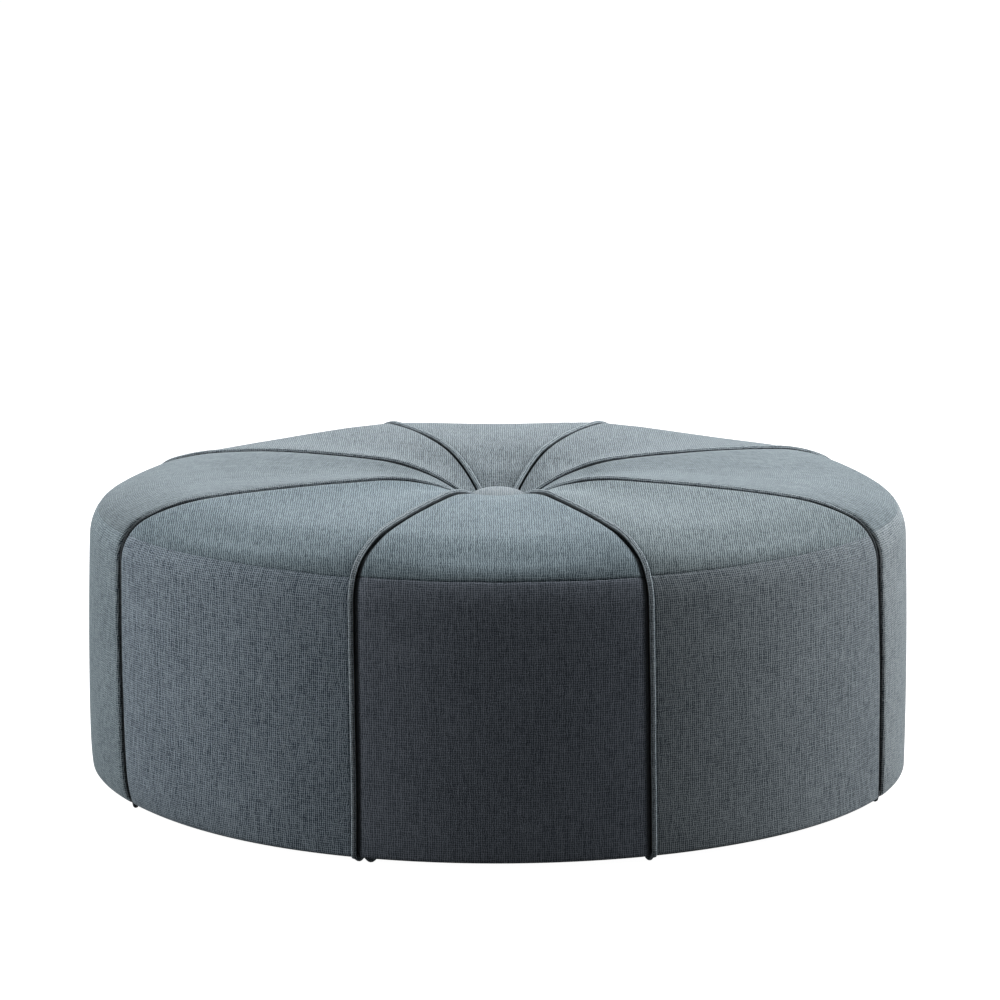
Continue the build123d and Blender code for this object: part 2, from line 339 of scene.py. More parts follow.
    def place_of(self, height: float) -> float:
        """Finds the length along the section at which the outside reaches a height.

        Args:
            height: Height above the floor.

        Returns:
            Length in metres.
        """
        top = int(np.argmax(self.path[:, 1]))
        outside = slice(self.foot_steps, top)
        return float(np.interp(height, self.path[outside, 1], self.along[outside]))


def grid_normals(points: np.ndarray) -> np.ndarray:
    """Unit normals of a grid of points, out of the cover.

    Args:
        points: Grid with columns anticlockwise along the first axis and rows upwards along the second.

    Returns:
        A grid of unit vectors.
    """
    across = np.gradient(points, axis=0)
    up = np.gradient(points, axis=1)
    normal = np.cross(across, up)
    return normal / np.maximum(np.linalg.norm(normal, axis=-1, keepdims=True), 1e-12)


def smooth_noise(places: np.ndarray, pitch: float, seed: int) -> np.ndarray:
    """Smooth seeded noise between about -1 and 1.

    Args:
        places: Lengths at which it is wanted.
        pitch: Length of one swing.
        seed: Seed of the draw.

    Returns:
        One value for each place.
    """
    draw = np.random.default_rng(seed)
    low = math.floor(places.min() / pitch) - 2
    count = math.ceil(places.max() / pitch) + 4 - low
    knots = draw.uniform(-1, 1, count)
    at = places / pitch - low
    whole = np.clip(np.floor(at).astype(int), 0, count - 2)
    share = ease(at - whole)
    return knots[whole] * (1 - share) + knots[whole + 1] * share


@dataclass
class Swell:
    """Swelling of the cloth between its seams, found by a cloth simulation with pressure."""

    cover: Cover
    columns: int = 27
    rows: int = 84
    frames: int = 20
    side_cap: float = 1.5 * MM
    top_cap: float = 6.0 * MM
    cap_start: float = 30.0 * MM
    cap_rise: float = 70.0 * MM
    settings: dict = field(default_factory=lambda: {
        "quality": 6, "mass": 0.3, "tension_stiffness": 25, "compression_stiffness": 25,
        "bending_stiffness": 0.6, "vertex_group_mass": "sewn", "use_pressure": True,
        "uniform_pressure_force": 4.0})
    fields: dict = field(default_factory=dict)

    def run(self) -> None:
        """Simulates every panel of cloth in one mesh and keeps how far each point moved outwards."""
        seam, end = self.cover.seam, self.cover.end
        ends = {"side": (0.0, seam), "top": (seam, end)}
        share = np.linspace(0, 1, self.columns)
        grids, keys = [], []
        for kind, (low, high) in ends.items():
            count = round(self.rows * (high - low) / end) + 2
            places = np.linspace(low, high, count)
            for panel in Panel:
                before, after = self.cover.welt_turns[panel.value:panel.value + 2]
                turns = before + share * (after - before)
                grids.append(self.cover.at(*np.meshgrid(turns, places, indexing="ij")))
                keys.append((kind, panel, share, places))
        moved = self.simulate(grids)
        for key, rise in zip(keys, moved):
            kind, panel, share, places = key
            cap = self.cap(places)[None, :]
            rise = cap * np.tanh(np.maximum(rise, 0) / cap)
            self.fields[(kind, panel)] = (share, places, rise)

    def cap(self, places: np.ndarray) -> np.ndarray:
        """Most that the cloth may swell: little where the foam holds it flat, more down in the dimple."""
        into = (places - self.cover.rim - self.cap_start) / self.cap_rise
        return self.side_cap + (self.top_cap - self.side_cap) * ease(into)

    def simulate(self, grids: list) -> list:
        """Runs the cloth on sheets whose edges are sewn down.

        Args:
            grids: One grid of points for each sheet.

        Returns:
            One grid for each sheet, of lengths moved along the normal.
        """
        points, faces, pinned, start = [], [], [], 0
        for grid in grids:
            wide, high = grid.shape[:2]
            points.append(grid.reshape(-1, 3))
            faces += grid_faces(wide, high, start)
            number = np.arange(wide * high).reshape(wide, high) + start
            edge = np.concatenate([number[0], number[-1], number[:, 0], number[:, -1]])
            pinned += [int(n) for n in np.unique(edge)]
            start += wide * high
        sheet = mesh_object("cloth_in_the_making", np.concatenate(points), faces, closed=False)
        sewn = sheet.vertex_groups.new(name="sewn")
        sewn.add(pinned, 1.0, "REPLACE")
        cloth = sheet.modifiers.new("cloth", "CLOTH")
        for name, value in self.settings.items():
            setattr(cloth.settings, name, value)
        cloth.settings.effector_weights.gravity = 0
        cloth.collision_settings.use_collision = False
        scene = bpy.context.scene
        for number in range(1, self.frames + 1):
            scene.frame_set(number)
        shown = sheet.evaluated_get(bpy.context.evaluated_depsgraph_get())
        after = np.zeros(start * 3, np.float32)
        shown.data.vertices.foreach_get("co", after)
        after = after.reshape(-1, 3)
        bpy.data.objects.remove(sheet)
        scene.frame_set(1)
        moved, start = [], 0
        for grid in grids:
            wide, high = grid.shape[:2]
            now = after[start:start + wide * high].reshape(wide, high, 3)
            moved.append(((now - grid) * grid_normals(grid)).sum(axis=-1))
            start += wide * high
        log.info("cloth moved by up to %.1f mm", 1000 * max(m.max() for m in moved))
        return moved

    def at(self, kind: str, panel: Panel, share: np.ndarray, places: np.ndarray) -> np.ndarray:
        """Reads the swelling at columns and rows of a finer grid.

        Args:
            kind: Either side or top.
            panel: The panel.
            share: Shares across the panel.
            places: Lengths along the section.

        Returns:
            Swelling in metres, columns by rows.
        """
        known_share, known_places, rise = self.fields[(kind, panel)]
        rows = np.stack([np.interp(share, known_share, rise[:, n]) for n in range(rise.shape[1])], axis=1)
        return np.stack([np.interp(places, known_places, row) for row in rows], axis=0)


def grid_faces(wide: int, high: int, start: int = 0, flip: bool = False, ring: bool = False,
               loop: bool = False) -> list:
    """Quads of a grid whose vertices are numbered column by column.

    Args:
        wide: Number of columns.
        high: Number of rows.
        start: Number of the first vertex.
        flip: Whether the faces look the other way.
        ring: Whether the last column joins the first.
        loop: Whether the last row joins the first.

    Returns:
        The faces.
    """
    faces = []
    for i in range(wide if ring else wide - 1):
        here, there = start + i * high, start + (i + 1) % wide * high
        for j in range(high if loop else high - 1):
            k = (j + 1) % high
            corners = (here + j, there + j, there + k, here + k)
            faces.append(corners[::-1] if flip else corners)
    return faces


def graded(spacing: list, inner: int) -> np.ndarray:
    """Shares from 0 to 1, close together at both ends.

    Args:
        spacing: Shares of the first columns next to an edge.
        inner: Number of even steps between.

    Returns:
        The shares in order.
    """
    near = np.array(spacing)
    middle = np.linspace(near[-1], 1 - near[-1], inner + 1)[1:-1]
    return np.concatenate([near, middle, 1 - near[::-1]])


def store_painted_shade(piece: bpy.types.Object, depth: np.ndarray, open_to: float, dark_from: float) -> None:
    """Stores how far each vertex lies in a crease, for the finish to darken as painted shade.

    Args:
        piece: The piece.
        depth: Depth of each vertex below the plain cover.
        open_to: Depth down to which the cloth lies in the open, with no painted shade, stored as 0.
        dark_from: Depth from which the painted shade is quite dark, stored as 1.
    """
    share = ease((depth - open_to) / (dark_from - open_to))
    layer = piece.data.attributes.new("crease", "FLOAT", "POINT")
    layer.data.foreach_set("value", share.astype(np.float32))


def store_weave(piece: bpy.types.Object, flat: np.ndarray) -> None:
    """Keeps the cloth's own coordinates as a UV map, which the woven finish follows.

    Args:
        piece: The piece.
        flat: Coordinates in metres across and along the threads, one row for each vertex.
    """
    corners = np.zeros(len(piece.data.loops), np.int32)
    piece.data.loops.foreach_get("vertex_index", corners)
    layer = piece.data.uv_layers.new(name="weave")
    layer.data.foreach_set("uv", flat[corners].astype(np.float32).ravel())


@dataclass(frozen=True)
class Crease:
    """How deep and how wide a panel is drawn in beside a welt, in millimetres."""

    depth: float
    reach: float


@dataclass(frozen=True)
class HandSewn:
    """How far a welt strays anticlockwise from its even place, in millimetres.

    Lean is the same all the way up, bow is most at half the height and rake is most at the foot.
    """

    lean: float
    bow: float
    rake: float


@dataclass(frozen=True)
class Give:
    """A place where the padding gives: depth, reach up the section, and angle and width in the plan."""

    depth: float
    reach: float
    angle: float
    width: float

    def at(self, turns: np.ndarray, away: np.ndarray) -> np.ndarray:
        """Depth at ellipse angles and distances from the middle of the place."""
        return self.depth * bell(away, self.reach) * bell(turned(turns, self.angle), self.width)


@dataclass
class Upholstery:
    """The cloth cover: eight gores over eight side panels, swelled, and drawn in at their seams."""

    cover: Cover
    swell: Swell
    thickness: float = 1.6 * MM
    sewn_gap: float = 0.5 * MM
    edge_depth: float = 12.5 * MM
    edge_reach: float = 1.4 * MM
    # Depths over which the painted shade in the creases goes from none to quite dark
    open_to: float = 0.8 * MM
    dark_from: float = 4.5 * MM
    seam_depth: float = 2.2 * MM
    seam_depth_behind: float = 0.3  # share of the depth that is left at the back
    seam_reach: float = 1.3 * MM
    seam_drop: float = 3.0 * MM
    seam_hold: float = 60.0 * MM
    seam_waves: tuple = ((1.2 * MM, 0.16, 81), (0.5 * MM, 0.05, 82))  # height, pitch in radians, seed
    front: float = 1.5 * math.pi
    front_drop: float = 0.5  # radians each way over which the seam drops
    front_give: float = 0.7  # radians each way over which it is drawn in most
    pucker_depth: float = 0.35 * MM
    pucker_pitch: float = 9.0 * MM
    pucker_radius: float = 0.53
    pucker_seed: int = 90
    wander: float = 1.0 * MM
    swings: tuple = ((1.0, 0.13, 40), (0.4, 0.05, 60))  # share of the wander, pitch in metres, first seed
    wander_fade: float = 0.25
    crown_sag: float = 6.5 * MM
    sag_start: float = 3.0 * MM
    sag_crest: float = 24.0 * MM
    sag_end: float = 105.0 * MM
    sag_fade: float = 60.0 * MM
    well_fade: float = 30.0 * MM
    columns: int = 44
    row_step: float = 7.0 * MM
    edge_columns: tuple = (0.0, 0.002, 0.0045, 0.0075, 0.011, 0.015, 0.02, 0.027, 0.038)
    edge_rows: tuple = (0.0, 0.7, 1.5, 2.5, 4.0, 6.5)
    foot_rows: tuple = (-2.0 * MM, 14.0 * MM, 9)  # from, to, count
    shoulder: Give = Give(6.0 * MM, 90.0 * MM, 0.86 * math.pi, 0.38)
    shoulder_drop: float = 12.0 * MM
    hollow: Give = Give(13.0 * MM, 130.0 * MM, 0.5 * math.pi, 0.9)
    hollow_start: float = 60.0 * MM
    tight: Give = Give(10.0 * MM, 24.0 * MM, 1.17 * math.pi, 0.42)
    tight_under: float = 50.0 * MM
    foam_dent: float = 7.0 * MM
    dent_reach: float = 24.0 * MM
    hand_sewn: dict = field(default_factory=lambda: {
        Welt.LEFT_FRONT: HandSewn(2.6, 1.0, 18.0), Welt.FRONT_LEFT: HandSewn(2.4, 2.5, 4.5),
        Welt.FRONT_RIGHT: HandSewn(-3.2, -1.7, 6.4), Welt.RIGHT_FRONT: HandSewn(-5.2, 1.0, 15.0),
        Welt.BACK_LEFT: HandSewn(-7.0, 1.0, 0.0), Welt.BACK_RIGHT: HandSewn(7.0, 1.0, 0.0),
        Welt.LEFT_BACK: HandSewn(-8.0, 1.0, 0.0), Welt.RIGHT_BACK: HandSewn(8.0, 1.0, 0.0)})
    creases: dict = field(default_factory=lambda: {
        Panel.FRONT: (Crease(11.8, 7.4), Crease(11.8, 7.4)),
        Panel.FRONT_LEFT: (Crease(11.5, 5.4), Crease(2.4, 3.2)),
        Panel.FRONT_RIGHT: (Crease(2.4, 3.2), Crease(11.5, 5.4)),
        Panel.LEFT: (Crease(10.0, 5.6), Crease(11.5, 5.0)),
        Panel.RIGHT: (Crease(11.5, 5.0), Crease(10.0, 5.6)),
        Panel.BACK_LEFT: (Crease(8.0, 4.8), Crease(4.0, 3.6)),
        Panel.BACK_RIGHT: (Crease(4.0, 3.6), Crease(8.0, 4.8)),
        Panel.BACK: (Crease(5.0, 4.0), Crease(5.0, 4.0))})

    def crease(self, panel: Panel, shares: np.ndarray, distance: np.ndarray) -> np.ndarray:
        """Depth to which a panel is drawn in beside its welts, with its edge turned in below the cord.

        Args:
            panel: The panel.
            shares: Shares across the panel.
            distance: Distances from the nearer welt.

        Returns:
            Depth in metres.
        """
        first, last = self.creases[panel]
        depth = np.where(shares < 0.5, first.depth, last.depth) * MM
        reach = np.where(shares < 0.5, first.reach, last.reach) * MM
        return depth * bell(distance, reach) + (self.edge_depth - depth) * bell(distance, self.edge_reach)

    def welt_wander(self, welt: int, places: np.ndarray) -> np.ndarray:
        """Sideways wander of a welt along the section, anticlockwise positive.

        Args:
            welt: Number of the welt.
            places: Lengths along the section.

        Returns:
            Wander in metres.
        """
        side = np.clip(places / self.cover.seam, 0, 1)
        swing = sum(share * smooth_noise(places, pitch, seed + welt) for share, pitch, seed in self.swings)
        sewn = self.hand_sewn[Welt(welt % len(Welt))]
        stray = sewn.lean + sewn.bow * np.sin(side * math.pi) ** 2 + sewn.rake * (1 - side)
        fade = np.clip((self.cover.end - places) / self.wander_fade, 0, 1)
        return (self.wander * swing + stray * MM) * fade

    def seam_shift(self, turns: np.ndarray) -> np.ndarray:
        """How far the plain seam runs above its mean height, at ellipse angles."""
        wave = sum(height * smooth_noise(turns, pitch, seed) for height, pitch, seed in self.seam_waves)
        return wave - self.seam_drop * bell(turns - self.front, self.front_drop, 4)

    def rows(self, kind: str) -> np.ndarray:
        """Places the rows of a side panel or a gore, close together at the plain seam.

        Args:
            kind: Either side or top.

        Returns:
            Lengths along the section.
        """
        seam, near = self.cover.seam, np.array(self.edge_rows) * MM
        if kind == "side":
            return np.concatenate([self.body_rows(0.0, seam - near[-1]), (seam - near[:-1])[::-1]])
        return np.concatenate([seam + near[:-1], self.body_rows(seam + near[-1], self.cover.end)])

    def body_rows(self, low: float, high: float) -> np.ndarray:
        """Places even rows, with more of them round the foot.

        Args:
            low: Length along the section at the first row.
            high: Length at the last row.

        Returns:
            Lengths along the section.
        """
        even = np.linspace(low, high, round((high - low) / self.row_step) + 1)
        first, last, count = self.foot_rows
        extra = np.linspace(self.cover.foot + first, self.cover.foot + last, count)
        return np.unique(np.concatenate([even, extra[(extra > low + MM) & (extra < high - MM)]]))

    def surface(self, kind: str, panel: Panel, share: np.ndarray, places: np.ndarray) -> tuple:
        """Outer face of one piece of cloth.

        Args:
            kind: Either side or top.
            panel: The panel.
            share: Column shares across the panel.
            places: Row places along the section.

        Returns:
            The points, the plain normals, the cloth's own coordinates in metres and its depth in the creases.
        """
        cover = self.cover
        before, after = cover.welt_turns[panel.value:panel.value + 2]
        turns, along = np.meshgrid(before + share * (after - before), places, indexing="ij")
        shares = np.broadcast_to(share[:, None], along.shape)
        hold = bell(along - cover.seam, self.seam_hold)
        along = along + self.seam_shift(turns) * hold
        spread = cover.spread(turns, along)
        drift = self.welt_wander(panel.value - 1, places) * (1 - shares) ** 4
        drift = drift + self.welt_wander(panel.value, places) * shares ** 4
        drift = drift + self.sewn_gap * np.sign(0.5 - shares) * np.abs(2 * shares - 1) ** 8
        turns = turns + drift / np.maximum(spread, 1e-4)
        points = cover.at(turns, along)
        normal = grid_normals(points)
        crease = self.crease(panel, shares, spread * (after - before) * np.minimum(shares, 1 - shares))
        near_seam = np.abs(along - cover.seam - self.seam_shift(turns) * hold)
        height = self.swell.at(kind, panel, share, places) - crease
        height = height + self.seam_give(turns, near_seam, panel) - self.sag(shares, along)
        height = height - self.slump(turns, along)
        level = np.interp(along, cover.along, cover.path[:, 1])
        shown = np.clip((level - cover.floor_clearance) / cover.foot_radius, 0, 1) * (along >= cover.foot)
        height = height * shown * np.clip((cover.end - along) / self.well_fade, 0, 1)
        points = points + normal * height[..., None] + self.tuck(turns, along)
        weave = np.stack([(turns - (before + after) / 2) * spread, along], axis=-1)
        if kind == "top" and panel not in (Panel.LEFT, Panel.RIGHT):
            drop = np.where(np.interp(along, cover.along, cover.path[:, 2]) < 1, 0,
                            cover.crown_height - points[..., 2])
            weave = np.stack([points[..., 0], np.abs(points[..., 1]) + drop], axis=-1)
        return points, normal, weave, crease

    def seam_give(self, turns: np.ndarray, away: np.ndarray, panel: Panel) -> np.ndarray:
        """Dip of the cloth at the plain seam, deepest in front, and the puckers beside it.

        Args:
            turns: Ellipse angles.
            away: Distances from the seam.
            panel: The panel.

        Returns:
            Height in metres.
        """
        front, behind = bell(turned(turns, self.front), self.front_give, 4), self.seam_depth_behind
        dip = self.seam_depth * (behind + (1 - behind) * front) * np.exp(-away / self.seam_reach)
        pucker = smooth_noise(turns * self.pucker_radius, self.pucker_pitch, self.pucker_seed + panel.value)
        return pucker * self.pucker_depth * np.exp(-away / self.pucker_pitch) - dip

    def sag(self, shares: np.ndarray, along: np.ndarray) -> np.ndarray:
        """Drop of the cloth where it spans from welt to welt over the crest and crown.

        Args:
            shares: Shares across the panel.
            along: Lengths along the section.

        Returns:
            Drop in metres.
        """
        cover = self.cover
        low = cover.seam + self.sag_start
        rise = ease((along - low) / (cover.place_of(cover.crown_height - self.sag_crest) - low))
        fall = ease((cover.rim + self.sag_end - along) / self.sag_fade)
        return self.crown_sag * rise * fall * np.sin(math.pi * shares) ** 1.5

    def slump(self, turns: np.ndarray, along: np.ndarray) -> np.ndarray:
        """Depth of the places where the padding gives: the left end's back shoulder and behind the button.

        Args:
            turns: Ellipse angles.
            along: Lengths along the section.

        Returns:
            Depth in metres.
        """
        past = along - self.cover.place_of(self.cover.crown_height - self.shoulder_drop)
        out = np.linalg.norm(self.cover.at(turns, along)[..., :2], axis=-1) - self.hollow_start
        return self.shoulder.at(turns, past) + self.hollow.at(turns, np.maximum(out, 0))

    def tuck(self, turns: np.ndarray, along: np.ndarray) -> np.ndarray:
        """Way in of the foot's edge where the left end is turned under more tightly.

        Args:
            turns: Ellipse angles.
            along: Lengths along the section.

        Returns:
            Level shifts, with the coordinates as the last axis.
        """
        rise = along - self.cover.turn_under
        low = np.exp(-np.maximum(rise, 0) / self.tight.reach) * np.clip(1 + rise / self.tight_under, 0, 1)
        outward = np.stack([self.cover.width * np.cos(turns), self.cover.length * np.sin(turns), 0 * turns],
                           axis=-1)
        way = -low * self.tight.at(turns, 0.0)
        return outward / np.linalg.norm(outward, axis=-1, keepdims=True) * way[..., None]

    def fallen(self, turns: np.ndarray, along: np.ndarray) -> np.ndarray:
        """Sag, slump and a wide dent at the welts together, right round the cover.

        Args:
            turns: Ellipse angles.
            along: Lengths along the section.

        Returns:
            Depth in metres.
        """
        welts = np.array(self.cover.welt_turns)
        wrapped = welts[0] + np.mod(turns - welts[0], 2 * math.pi)
        at = np.clip(np.searchsorted(welts, wrapped, side="right") - 1, 0, len(Panel) - 1)
        shares = np.clip((wrapped - welts[at]) / (welts[at + 1] - welts[at]), 0, 1)
        span = self.cover.spread(turns, along) * (welts[at + 1] - welts[at])
        dent = self.foam_dent * bell(span * np.minimum(shares, 1 - shares), self.dent_reach)
        return self.sag(shares, along) + self.slump(turns, along) + dent

    def piece(self, kind: str, panel: Panel) -> bpy.types.Object:
        """Builds one gore or side panel as a closed sheet of the cloth's thickness.

        Args:
            kind: Either side or top.
            panel: The panel.

        Returns:
            The piece, with its weave coordinates as a UV map.
        """
        share = graded(list(self.edge_columns), self.columns)
        places = self.rows(kind)
        outer, normal, weave, crease = self.surface(kind, panel, share, places)
        inner = outer - normal * self.thickness
        wide, high = outer.shape[:2]
        points = np.concatenate([outer.reshape(-1, 3), inner.reshape(-1, 3)])
        half = wide * high
        faces = grid_faces(wide, high) + grid_faces(wide, high, half, flip=True)
        number = np.arange(half).reshape(wide, high)
        for edge, flip in ((number[:, 0], True), (number[:, -1], False), (number[0], False), (number[-1], True)):
            for a, b in zip(edge[:-1], edge[1:]):
                quad = (int(a), int(b), int(b) + half, int(a) + half)
                faces.append(quad[::-1] if flip else quad)
        prefix = "gore_cloth_" if kind == "top" else "side_cloth_"
        piece = mesh_object(prefix + panel.name.lower(), points, faces)
        store_weave(piece, np.tile(weave.reshape(-1, 2), (2, 1)))
        store_painted_shade(piece, np.tile(crease.ravel(), 2), self.open_to, self.dark_from)
        return piece

    def welt_line(self, welt: int, lift: np.ndarray, aside: np.ndarray, places: np.ndarray) -> np.ndarray:
        """Middle line of a welt's cord.

        Args:
            welt: Number of the welt.
            lift: Height of the line over the plain cover.
            aside: Shift of the line anticlockwise from its seam.
            places: Lengths along the section.

        Returns:
            Points from the foot to the button.
        """
        turns = self.cover.welt_turns[welt + 1] + 0 * places
        turns = turns + (self.welt_wander(welt, places) + aside) / self.cover.spread(turns, places)
        grid = self.cover.at(np.stack([turns, turns + NEAR]), np.stack([places, places]))
        height = lift - self.slump(turns, places)
        return grid[0] + grid_normals(grid)[0] * height[:, None] + self.tuck(turns, places)


# Finishes
def new_material(name: str) -> tuple:
    """Starts a material.

    Args:
        name: Name of the real material.

    Returns:
        The material and its empty node tree.
    """
    material = bpy.data.materials.new(name)
    material.use_nodes = True
    material.node_tree.nodes.clear()
    return material, material.node_tree


@dataclass(frozen=True)
class LinenLook:
    """Woven polyester with a linen look: slubby threads, matt, with a soft sheen at a low angle."""

    name: str
    dark: str
    pale: str
    spread: float = 0.14
    pitch: float = 3.1
    slub: float = 14.0
    warp: float = 0.52
    weft: float = 0.36
    waver: float = 4.5
    bump: float = 0.6
    bump_height: float = 0.5 * MM
    # Share of the colour left at the bottom of a crease: painted shade
    crease: float = 0.12
    roughness: float = 0.92
    specular: float = 0.15
    sheen: float = 0.35
    sheen_roughness: float = 0.45
    sheen_tint: str = "C9D6DE"

    def build(self) -> bpy.types.Material:
        """Builds the material; the weave is drawn about twice as coarse as the real one, to show.

        Returns:
            The material, which reads the piece's weave map.
        """
        material, tree = new_material(self.name)
        weave = put(tree, "ShaderNodeUVMap", uv_map="weave")
        in_mm = put(tree, "ShaderNodeMapping", {"Vector": weave.outputs[0], "Scale": (1 / MM, 1 / MM, 1)})
        vector = in_mm.outputs[0]
        fine, slub = 1 / self.pitch, 1 / self.slub
        warp = self.threads(tree, vector, "X", (fine, slub, 1))
        weft = self.threads(tree, vector, "Y", (slub, fine, 1))
        # Weights of the threads, the streaks along them, the bands across the bolt and the broad patches
        layers = ((self.warp, warp), (self.weft, weft),
                  (0.24, self.streaks(tree, vector, (fine, slub / 2, 1), 30.0)),
                  (0.15, self.streaks(tree, vector, (slub, fine, 1), 60.0)),
                  (0.12, self.streaks(tree, vector, (1 / 7, 1 / 190, 1), 90.0)),
                  (0.08, self.streaks(tree, vector, (1 / 110, 1 / 110, 1), 120.0)))
        shade, threads = None, None
        for number, (weight, share) in enumerate(layers):
            links = {0: share, 1: weight, 2: shade.outputs[0] if shade else 0.0}
            shade = put(tree, "ShaderNodeMath", links, operation="MULTIPLY_ADD")
            if number == 1:
                threads = shade
        middle = (self.warp + self.weft) / 4 + sum(weight for weight, _ in layers[2:]) / 2
        tone = put(tree, "ShaderNodeMapRange", {"Value": shade.outputs[0], "From Min": middle - self.spread,
                                                "From Max": middle + self.spread})
        colour = put(tree, "ShaderNodeMix", {0: tone.outputs[0], 6: linear(self.dark), 7: linear(self.pale)},
                     data_type="RGBA")
        # Painted shade: the colour is darkened by the stored crease depth, for the little light that reaches the
        # bottom of a drawn-in seam, so a thin dark line parts panel from panel
        crease = put(tree, "ShaderNodeAttribute", attribute_name="crease")
        deep = put(tree, "ShaderNodeMapRange", {"Value": crease.outputs[2], "To Min": 1.0, "To Max": self.crease})
        colour = put(tree, "ShaderNodeVectorMath", {0: colour.outputs[2], 3: deep.outputs[0]}, operation="SCALE")
        bump = put(tree, "ShaderNodeBump", {"Height": threads.outputs[0], "Strength": self.bump,
                                            "Distance": self.bump_height})
        # Matt threads, with a soft sheen from the loose fibres where the cloth is seen at a low angle
        cloth = put(tree, "ShaderNodeBsdfPrincipled", {
            "Base Color": colour.outputs[0], "Roughness": self.roughness, "Specular IOR Level": self.specular,
            "Sheen Weight": self.sheen, "Sheen Roughness": self.sheen_roughness,
            "Sheen Tint": linear(self.sheen_tint), "Normal": bump.outputs[0]})
        put(tree, "ShaderNodeOutputMaterial", {"Surface": cloth.outputs[0]})
        return material

    def threads(self, tree: bpy.types.NodeTree, vector: bpy.types.NodeSocket, direction: str,
                scale: tuple) -> bpy.types.NodeSocket:
        """One set of parallel threads that waver a little and swell into slubs.

        Args:
            tree: The material's tree.
            vector: Weave coordinates in millimetres.
            direction: Axis across the threads.
            scale: Swings of the slubs per millimetre across and along.

        Returns:
            Light on the threads and dark between them, about 0.25 in the mean.
        """
        bands = put(tree, "ShaderNodeTexWave", {"Vector": vector, "Scale": math.pi / 10 / self.pitch,
                    "Distortion": self.waver, "Detail": 2.0, "Detail Scale": 1.1, "Detail Roughness": 0.6},
                    wave_type="BANDS", bands_direction=direction)
        slubs = self.streaks(tree, vector, scale, 200.0 if direction == "X" else 300.0)
        both = put(tree, "ShaderNodeMath", {0: bands.outputs[1], 1: slubs}, operation="MULTIPLY")
        return both.outputs[0]

    def streaks(self, tree: bpy.types.NodeTree, vector: bpy.types.NodeSocket, scale: tuple,
                shift: float) -> bpy.types.NodeSocket:
        """Noise drawn out along the threads.

        Args:
            tree: The material's tree.
            vector: Weave coordinates in millimetres.
            scale: Swings per millimetre across and along.
            shift: Offset that keeps two layers apart.

        Returns:
            The noise, from 0 to 1.
        """
        long = put(tree, "ShaderNodeMapping", {"Vector": vector, "Scale": scale,
                                               "Location": (shift, shift, shift)})
        noise = put(tree, "ShaderNodeTexNoise", {"Vector": long.outputs[0], "Scale": 1.0, "Detail": 2.0,
                                                 "Roughness": 0.55})
        return noise.outputs[0]


@dataclass(frozen=True)
class Plain:
    """A finish of mottled colour with a fine bump, for what the cover hides and for small fittings."""

    name: str
    dark: str
    pale: str
    roughness: float = 0.7
    metallic: float = 0.0
    stretch: tuple = (1.0, 1.0, 1.0)
    size: float = 8.0
    bump: float = 0.3

    def build(self) -> bpy.types.Material:
        """Builds the material from object coordinates.

        Returns:
            The material.
        """
        material, tree = new_material(self.name)
        place = put(tree, "ShaderNodeTexCoord")
        scale = tuple(s / (self.size * MM) for s in self.stretch)
        drawn = put(tree, "ShaderNodeMapping", {"Vector": place.outputs["Object"], "Scale": scale})
        noise = put(tree, "ShaderNodeTexNoise", {"Vector": drawn.outputs[0], "Scale": 1.0, "Detail": 5.0})
        colour = put(tree, "ShaderNodeMix", {0: noise.outputs[0], 6: linear(self.dark), 7: linear(self.pale)},
                     data_type="RGBA")
        bump = put(tree, "ShaderNodeBump", {"Height": noise.outputs[0], "Strength": self.bump,
                                            "Distance": 0.4 * MM})
        body = put(tree, "ShaderNodeBsdfPrincipled", {"Base Color": colour.outputs[2], "Metallic": self.metallic,
                   "Roughness": self.roughness, "Normal": bump.outputs[0]})
        put(tree, "ShaderNodeOutputMaterial", {"Surface": body.outputs[0]})
        return material


# Geometry Nodes
def path_object(name: str, points: np.ndarray, closed: bool = False) -> bpy.types.Object:
    """Makes a mesh of edges along a path, for a Geometry Nodes tree to follow.

    Args:
        name: Name of the piece.
        points: Points of the path in order.
        closed: Whether the last point joins the first.

    Returns:
        The path as an object.
    """
    count = len(points)
    edges = [(n, n + 1) for n in range(count - 1)] + ([(count - 1, 0)] if closed else [])
    mesh = bpy.data.meshes.new(name)
    mesh.from_pydata([tuple(map(float, p)) for p in points], edges, [])
    piece = bpy.data.objects.new(name, mesh)
    bpy.context.scene.collection.objects.link(piece)
    return piece


def new_tree(name: str, sizes: dict, material: bpy.types.Material) -> tuple:
    """Starts a Geometry Nodes tree with named inputs.

    Args:
        name: Name of the tree.
        sizes: Names and values of its size inputs.
        material: Default of its material input.

    Returns:
        The tree and its group input node.
    """
    tree = bpy.data.node_groups.new(name, "GeometryNodeTree")
    tree.interface.new_socket("Geometry", in_out="INPUT", socket_type="NodeSocketGeometry")
    for label, value in sizes.items():
        socket = tree.interface.new_socket(label, in_out="INPUT", socket_type="NodeSocketFloat")
        socket.default_value = value
    cover = tree.interface.new_socket("Material", in_out="INPUT", socket_type="NodeSocketMaterial")
    cover.default_value = material
    tree.interface.new_socket("Geometry", in_out="OUTPUT", socket_type="NodeSocketGeometry")
    return tree, put(tree, "NodeGroupInput")


def close_tree(tree: bpy.types.NodeTree, shape: bpy.types.NodeSocket, material: bpy.types.NodeSocket) -> None:
    """Ends a tree in Realize Instances and Set Material.

    Args:
        tree: The tree.
        shape: Geometry to end with.
        material: Its material.
    """
    real = put(tree, "GeometryNodeRealizeInstances", {"Geometry": shape})
    dressed = put(tree, "GeometryNodeSetMaterial", {"Geometry": real.outputs[0], "Material": material})
    put(tree, "NodeGroupOutput", {0: dressed.outputs[0]})


